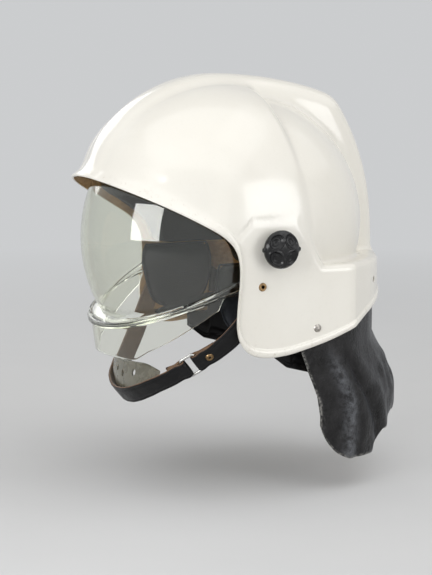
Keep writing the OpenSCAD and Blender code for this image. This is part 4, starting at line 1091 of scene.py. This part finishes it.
for share in shares:
    at = share * last_place
    over = at > half_count
    k = 2 * half_count - at if over else at
    x, y = (np.interp(k, range(half_count + 1), curtain_top[:, side]) for side in (0, 1))
    x *= -1 if over else 1
    u = k / half_count
    near = max(0, 1 - share / 0.14)
    late = max(0, (share - 0.8) / 0.2)
    seam_z = -52 - 14 * max(0, 1 - u * 2.2)
    turned_in = 128 + 34 * smooth_step(share, 0.28, 0.42)
    foot_z = (curtain_foot_z + 33 * near ** 2.6 + 20 * smooth_step(share, 0.27, 0.305)
              + 11 * smooth_step(share, 0.3, 0.5) + 22 * late ** 2
              + 1.4 * math.sin(share * 19) * smooth_step(share, 0.3, 0.4))
    column = []
    for z in seam_z + (foot_z - seam_z) * drop:
        lead = 22 * (1 - u) ** 2 * min(1, max(0, (lean_z - z) / 50))
        kink = smooth_step(-z, 66, 86) * (1 - 0.6 * smooth_step(-z, 115, 195))
        lead -= 5.5 * max(0, 1 - share / 0.05) * kink
        bend = math.radians(np.clip((belly_z - z) / belly_l, 0, 1) * turned_in)
        belly = belly_depth * math.sin(bend) ** 1.3 * min(1, u * 1.6)
        column.append([x * (1 - 0.1 * (1 - u) * max(0, (lean_z - z) / 110)), y + lead + belly, z])
    face.append(column)
    spread.append([share] * len(drop))
face, spread = np.array(face), np.array(spread)
flat_w = float(np.linalg.norm(np.diff(face[:, 40], axis=0), axis=1).sum())
flat_l = float(np.linalg.norm(np.diff(face[len(face) // 2], axis=0), axis=1).sum())
outside = unit(np.cross(np.gradient(face, axis=0), np.gradient(face, axis=1)))
outside *= np.sign((outside * (face - np.array([0, 20, -120]))).sum(-1).mean())
z = face[..., 2]
free = smooth_step(-z, 88, 130)
crest_at = 0.1 + 0.025 * smooth_step(-z, 80, 200)
fold_at = 0.168 + 0.115 * smooth_step(-z, 80, 200) ** 1.3
shape = 4.2 * free * np.exp(-((spread - crest_at) / 0.024) ** 2)
shape -= 4.2 * free * np.exp(-((spread - fold_at) / 0.02) ** 2)
shape += 2.2 * free * np.exp(-((spread - fold_at - 0.05) / 0.03) ** 2)
run = spread * flat_w
calm = 0.35 + 0.65 * smooth_step((1 - drop)[None] * flat_l, 0, 16)
for pitch, phase, lean, size in crinkles:
    shape += size * free * calm * np.sin((run + lean * (z + 120)) / pitch * math.pi + phase) * (
        0.4 + 0.6 * np.sin(z / pitch * 1.7 + phase * 2))
face = face + outside * shape[..., None]
to_hem = np.minimum.reduce([spread * flat_w, (1 - spread) * flat_w, (1 - drop)[None] * flat_l + 0 * spread])
thick = hide_t / 2 * np.sqrt(np.clip(1 - (np.clip(1.4 - to_hem, 0, 1.4) / 1.4) ** 2, 0.15, 1))
front_face = face + outside * thick[..., None]
back_face = face - outside * thick[..., None]
rings = np.concatenate([front_face, back_face[:, ::-1]], axis=1)
last = len(drop) - 1
curtain = skin("curtain_hide", rings, around=True, caps=("face", "face"),
               slots=lambda i, j: 0 if j <= last else 1)
# Painted highlight: the hide is coloured paler along the crest of the fold, and faintly on the ridge behind
# it, where the lamps' highlight lies.
ridge_highlight = free * (np.exp(-((spread - crest_at) / 0.03) ** 2)
                   + 0.12 * np.exp(-((spread - fold_at - 0.06) / 0.03) ** 2))
for mark, values in (("to_hem", to_hem), ("ridge_highlight", ridge_highlight)):
    mark_points(curtain, mark, rings, np.concatenate([values, values[:, ::-1]], axis=1))
bluish_hide, tree, shader = coat("bluish_black_hide", Specular_IOR_Level=0.2, Sheen_Weight=0.05,
                                 Sheen_Roughness=0.35, Sheen_Tint=(0.6, 0.75, 1, 1))
grain = speckle(tree, 520, kind="TexVoronoi")
wrinkles = speckle(tree, 70, 6, 0.7, stretch=(1, 1, 0.55))
rubbed = ramp(tree, speckle(tree, 210, 6, 0.8), (0.6, 0.0), (0.72, 0.8))
hide = ramp(tree, wrinkles, (0.32, (0.006, 0.0058, 0.0056)), (0.68, (0.026, 0.025, 0.026)))
# The painted ridge highlight, broken up by noise, lightens the hide's colour here.
ridge_highlight_mask = add(tree, "Attribute", attribute_name="ridge_highlight").outputs["Fac"]
ridge_highlight_share = times(tree, ridge_highlight_mask, ramp(tree, speckle(tree, 150, 6, 0.8), (0.42, 0.12), (0.62, 1.0)))
hide_with_ridge_highlight = blend_colours(tree, ridge_highlight_share, hide, (0.13, 0.136, 0.148))
rubbed_hide = blend_colours(tree, rubbed, hide_with_ridge_highlight, (0.07, 0.072, 0.076))
near = add(tree, "MapRange", ("Value", add(tree, "Attribute", attribute_name="to_hem").outputs["Fac"]),
           ("From Min", 0.6), ("From Max", 2.8), ("To Min", 1.0), ("To Max", 0.0)).outputs["Result"]
worn_hem = times(tree, near, ramp(tree, speckle(tree, 330, 5, 0.7), (0.44, 0.0), (0.6, 1.0)))
vary(shader, "Base Color", blend_colours(tree, worn_hem, rubbed_hide, (0.24, 0.235, 0.22)))
vary(shader, "Roughness", wrinkles, (0.3, 0.24), (0.7, 0.44))
relief(tree, shader, (grain, 0.5, 0.5), (speckle(tree, 190, 5, 0.7), 0.5, 0.8), (wrinkles, 0.8, 3.0))
for material in (bluish_hide, flesh_side):
    curtain.data.materials.append(material)
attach(curtain, "shell")
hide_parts("neck_curtain")


# Rivets, washers, screws and bushes: brass, steel and nylon, which fasten the pieces above. They keep their
# machined shapes and only get their finishes here.
aged_brass, tree, shader = coat("aged_brass", Metallic=1.0)
patina = speckle(tree, 700, 5, 0.7)
vary(shader, "Base Color", patina, (0.35, (0.36, 0.24, 0.12)), (0.7, (0.12, 0.075, 0.04)))
vary(shader, "Roughness", patina, (0.35, 0.25), (0.75, 0.6))
relief(tree, shader, (patina, 0.3, 0.15))
dull_steel, tree, shader = coat("dull_steel", Metallic=1.0)
wear = speckle(tree, 600, 5, 0.7)
vary(shader, "Base Color", wear, (0.35, (0.5, 0.48, 0.45)), (0.75, (0.24, 0.21, 0.18)))
vary(shader, "Roughness", wear, (0.35, 0.25), (0.75, 0.55))
relief(tree, shader, (wear, 0.25, 0.12))
for material, nodes in ((grey_nylon, ("pivot_bush_left", "pivot_bush_right")),
                        (aged_brass, ("strap_rivets", "loop_rivet")),
                        (dull_steel, ("strap_washers", "curtain_rivets", "curtain_washers")),
                        (bright_steel, ("spring_washers", "knob_screws"))):
    for node in nodes:
        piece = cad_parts[node]
        piece.data.materials.clear()
        piece.data.materials.append(material)
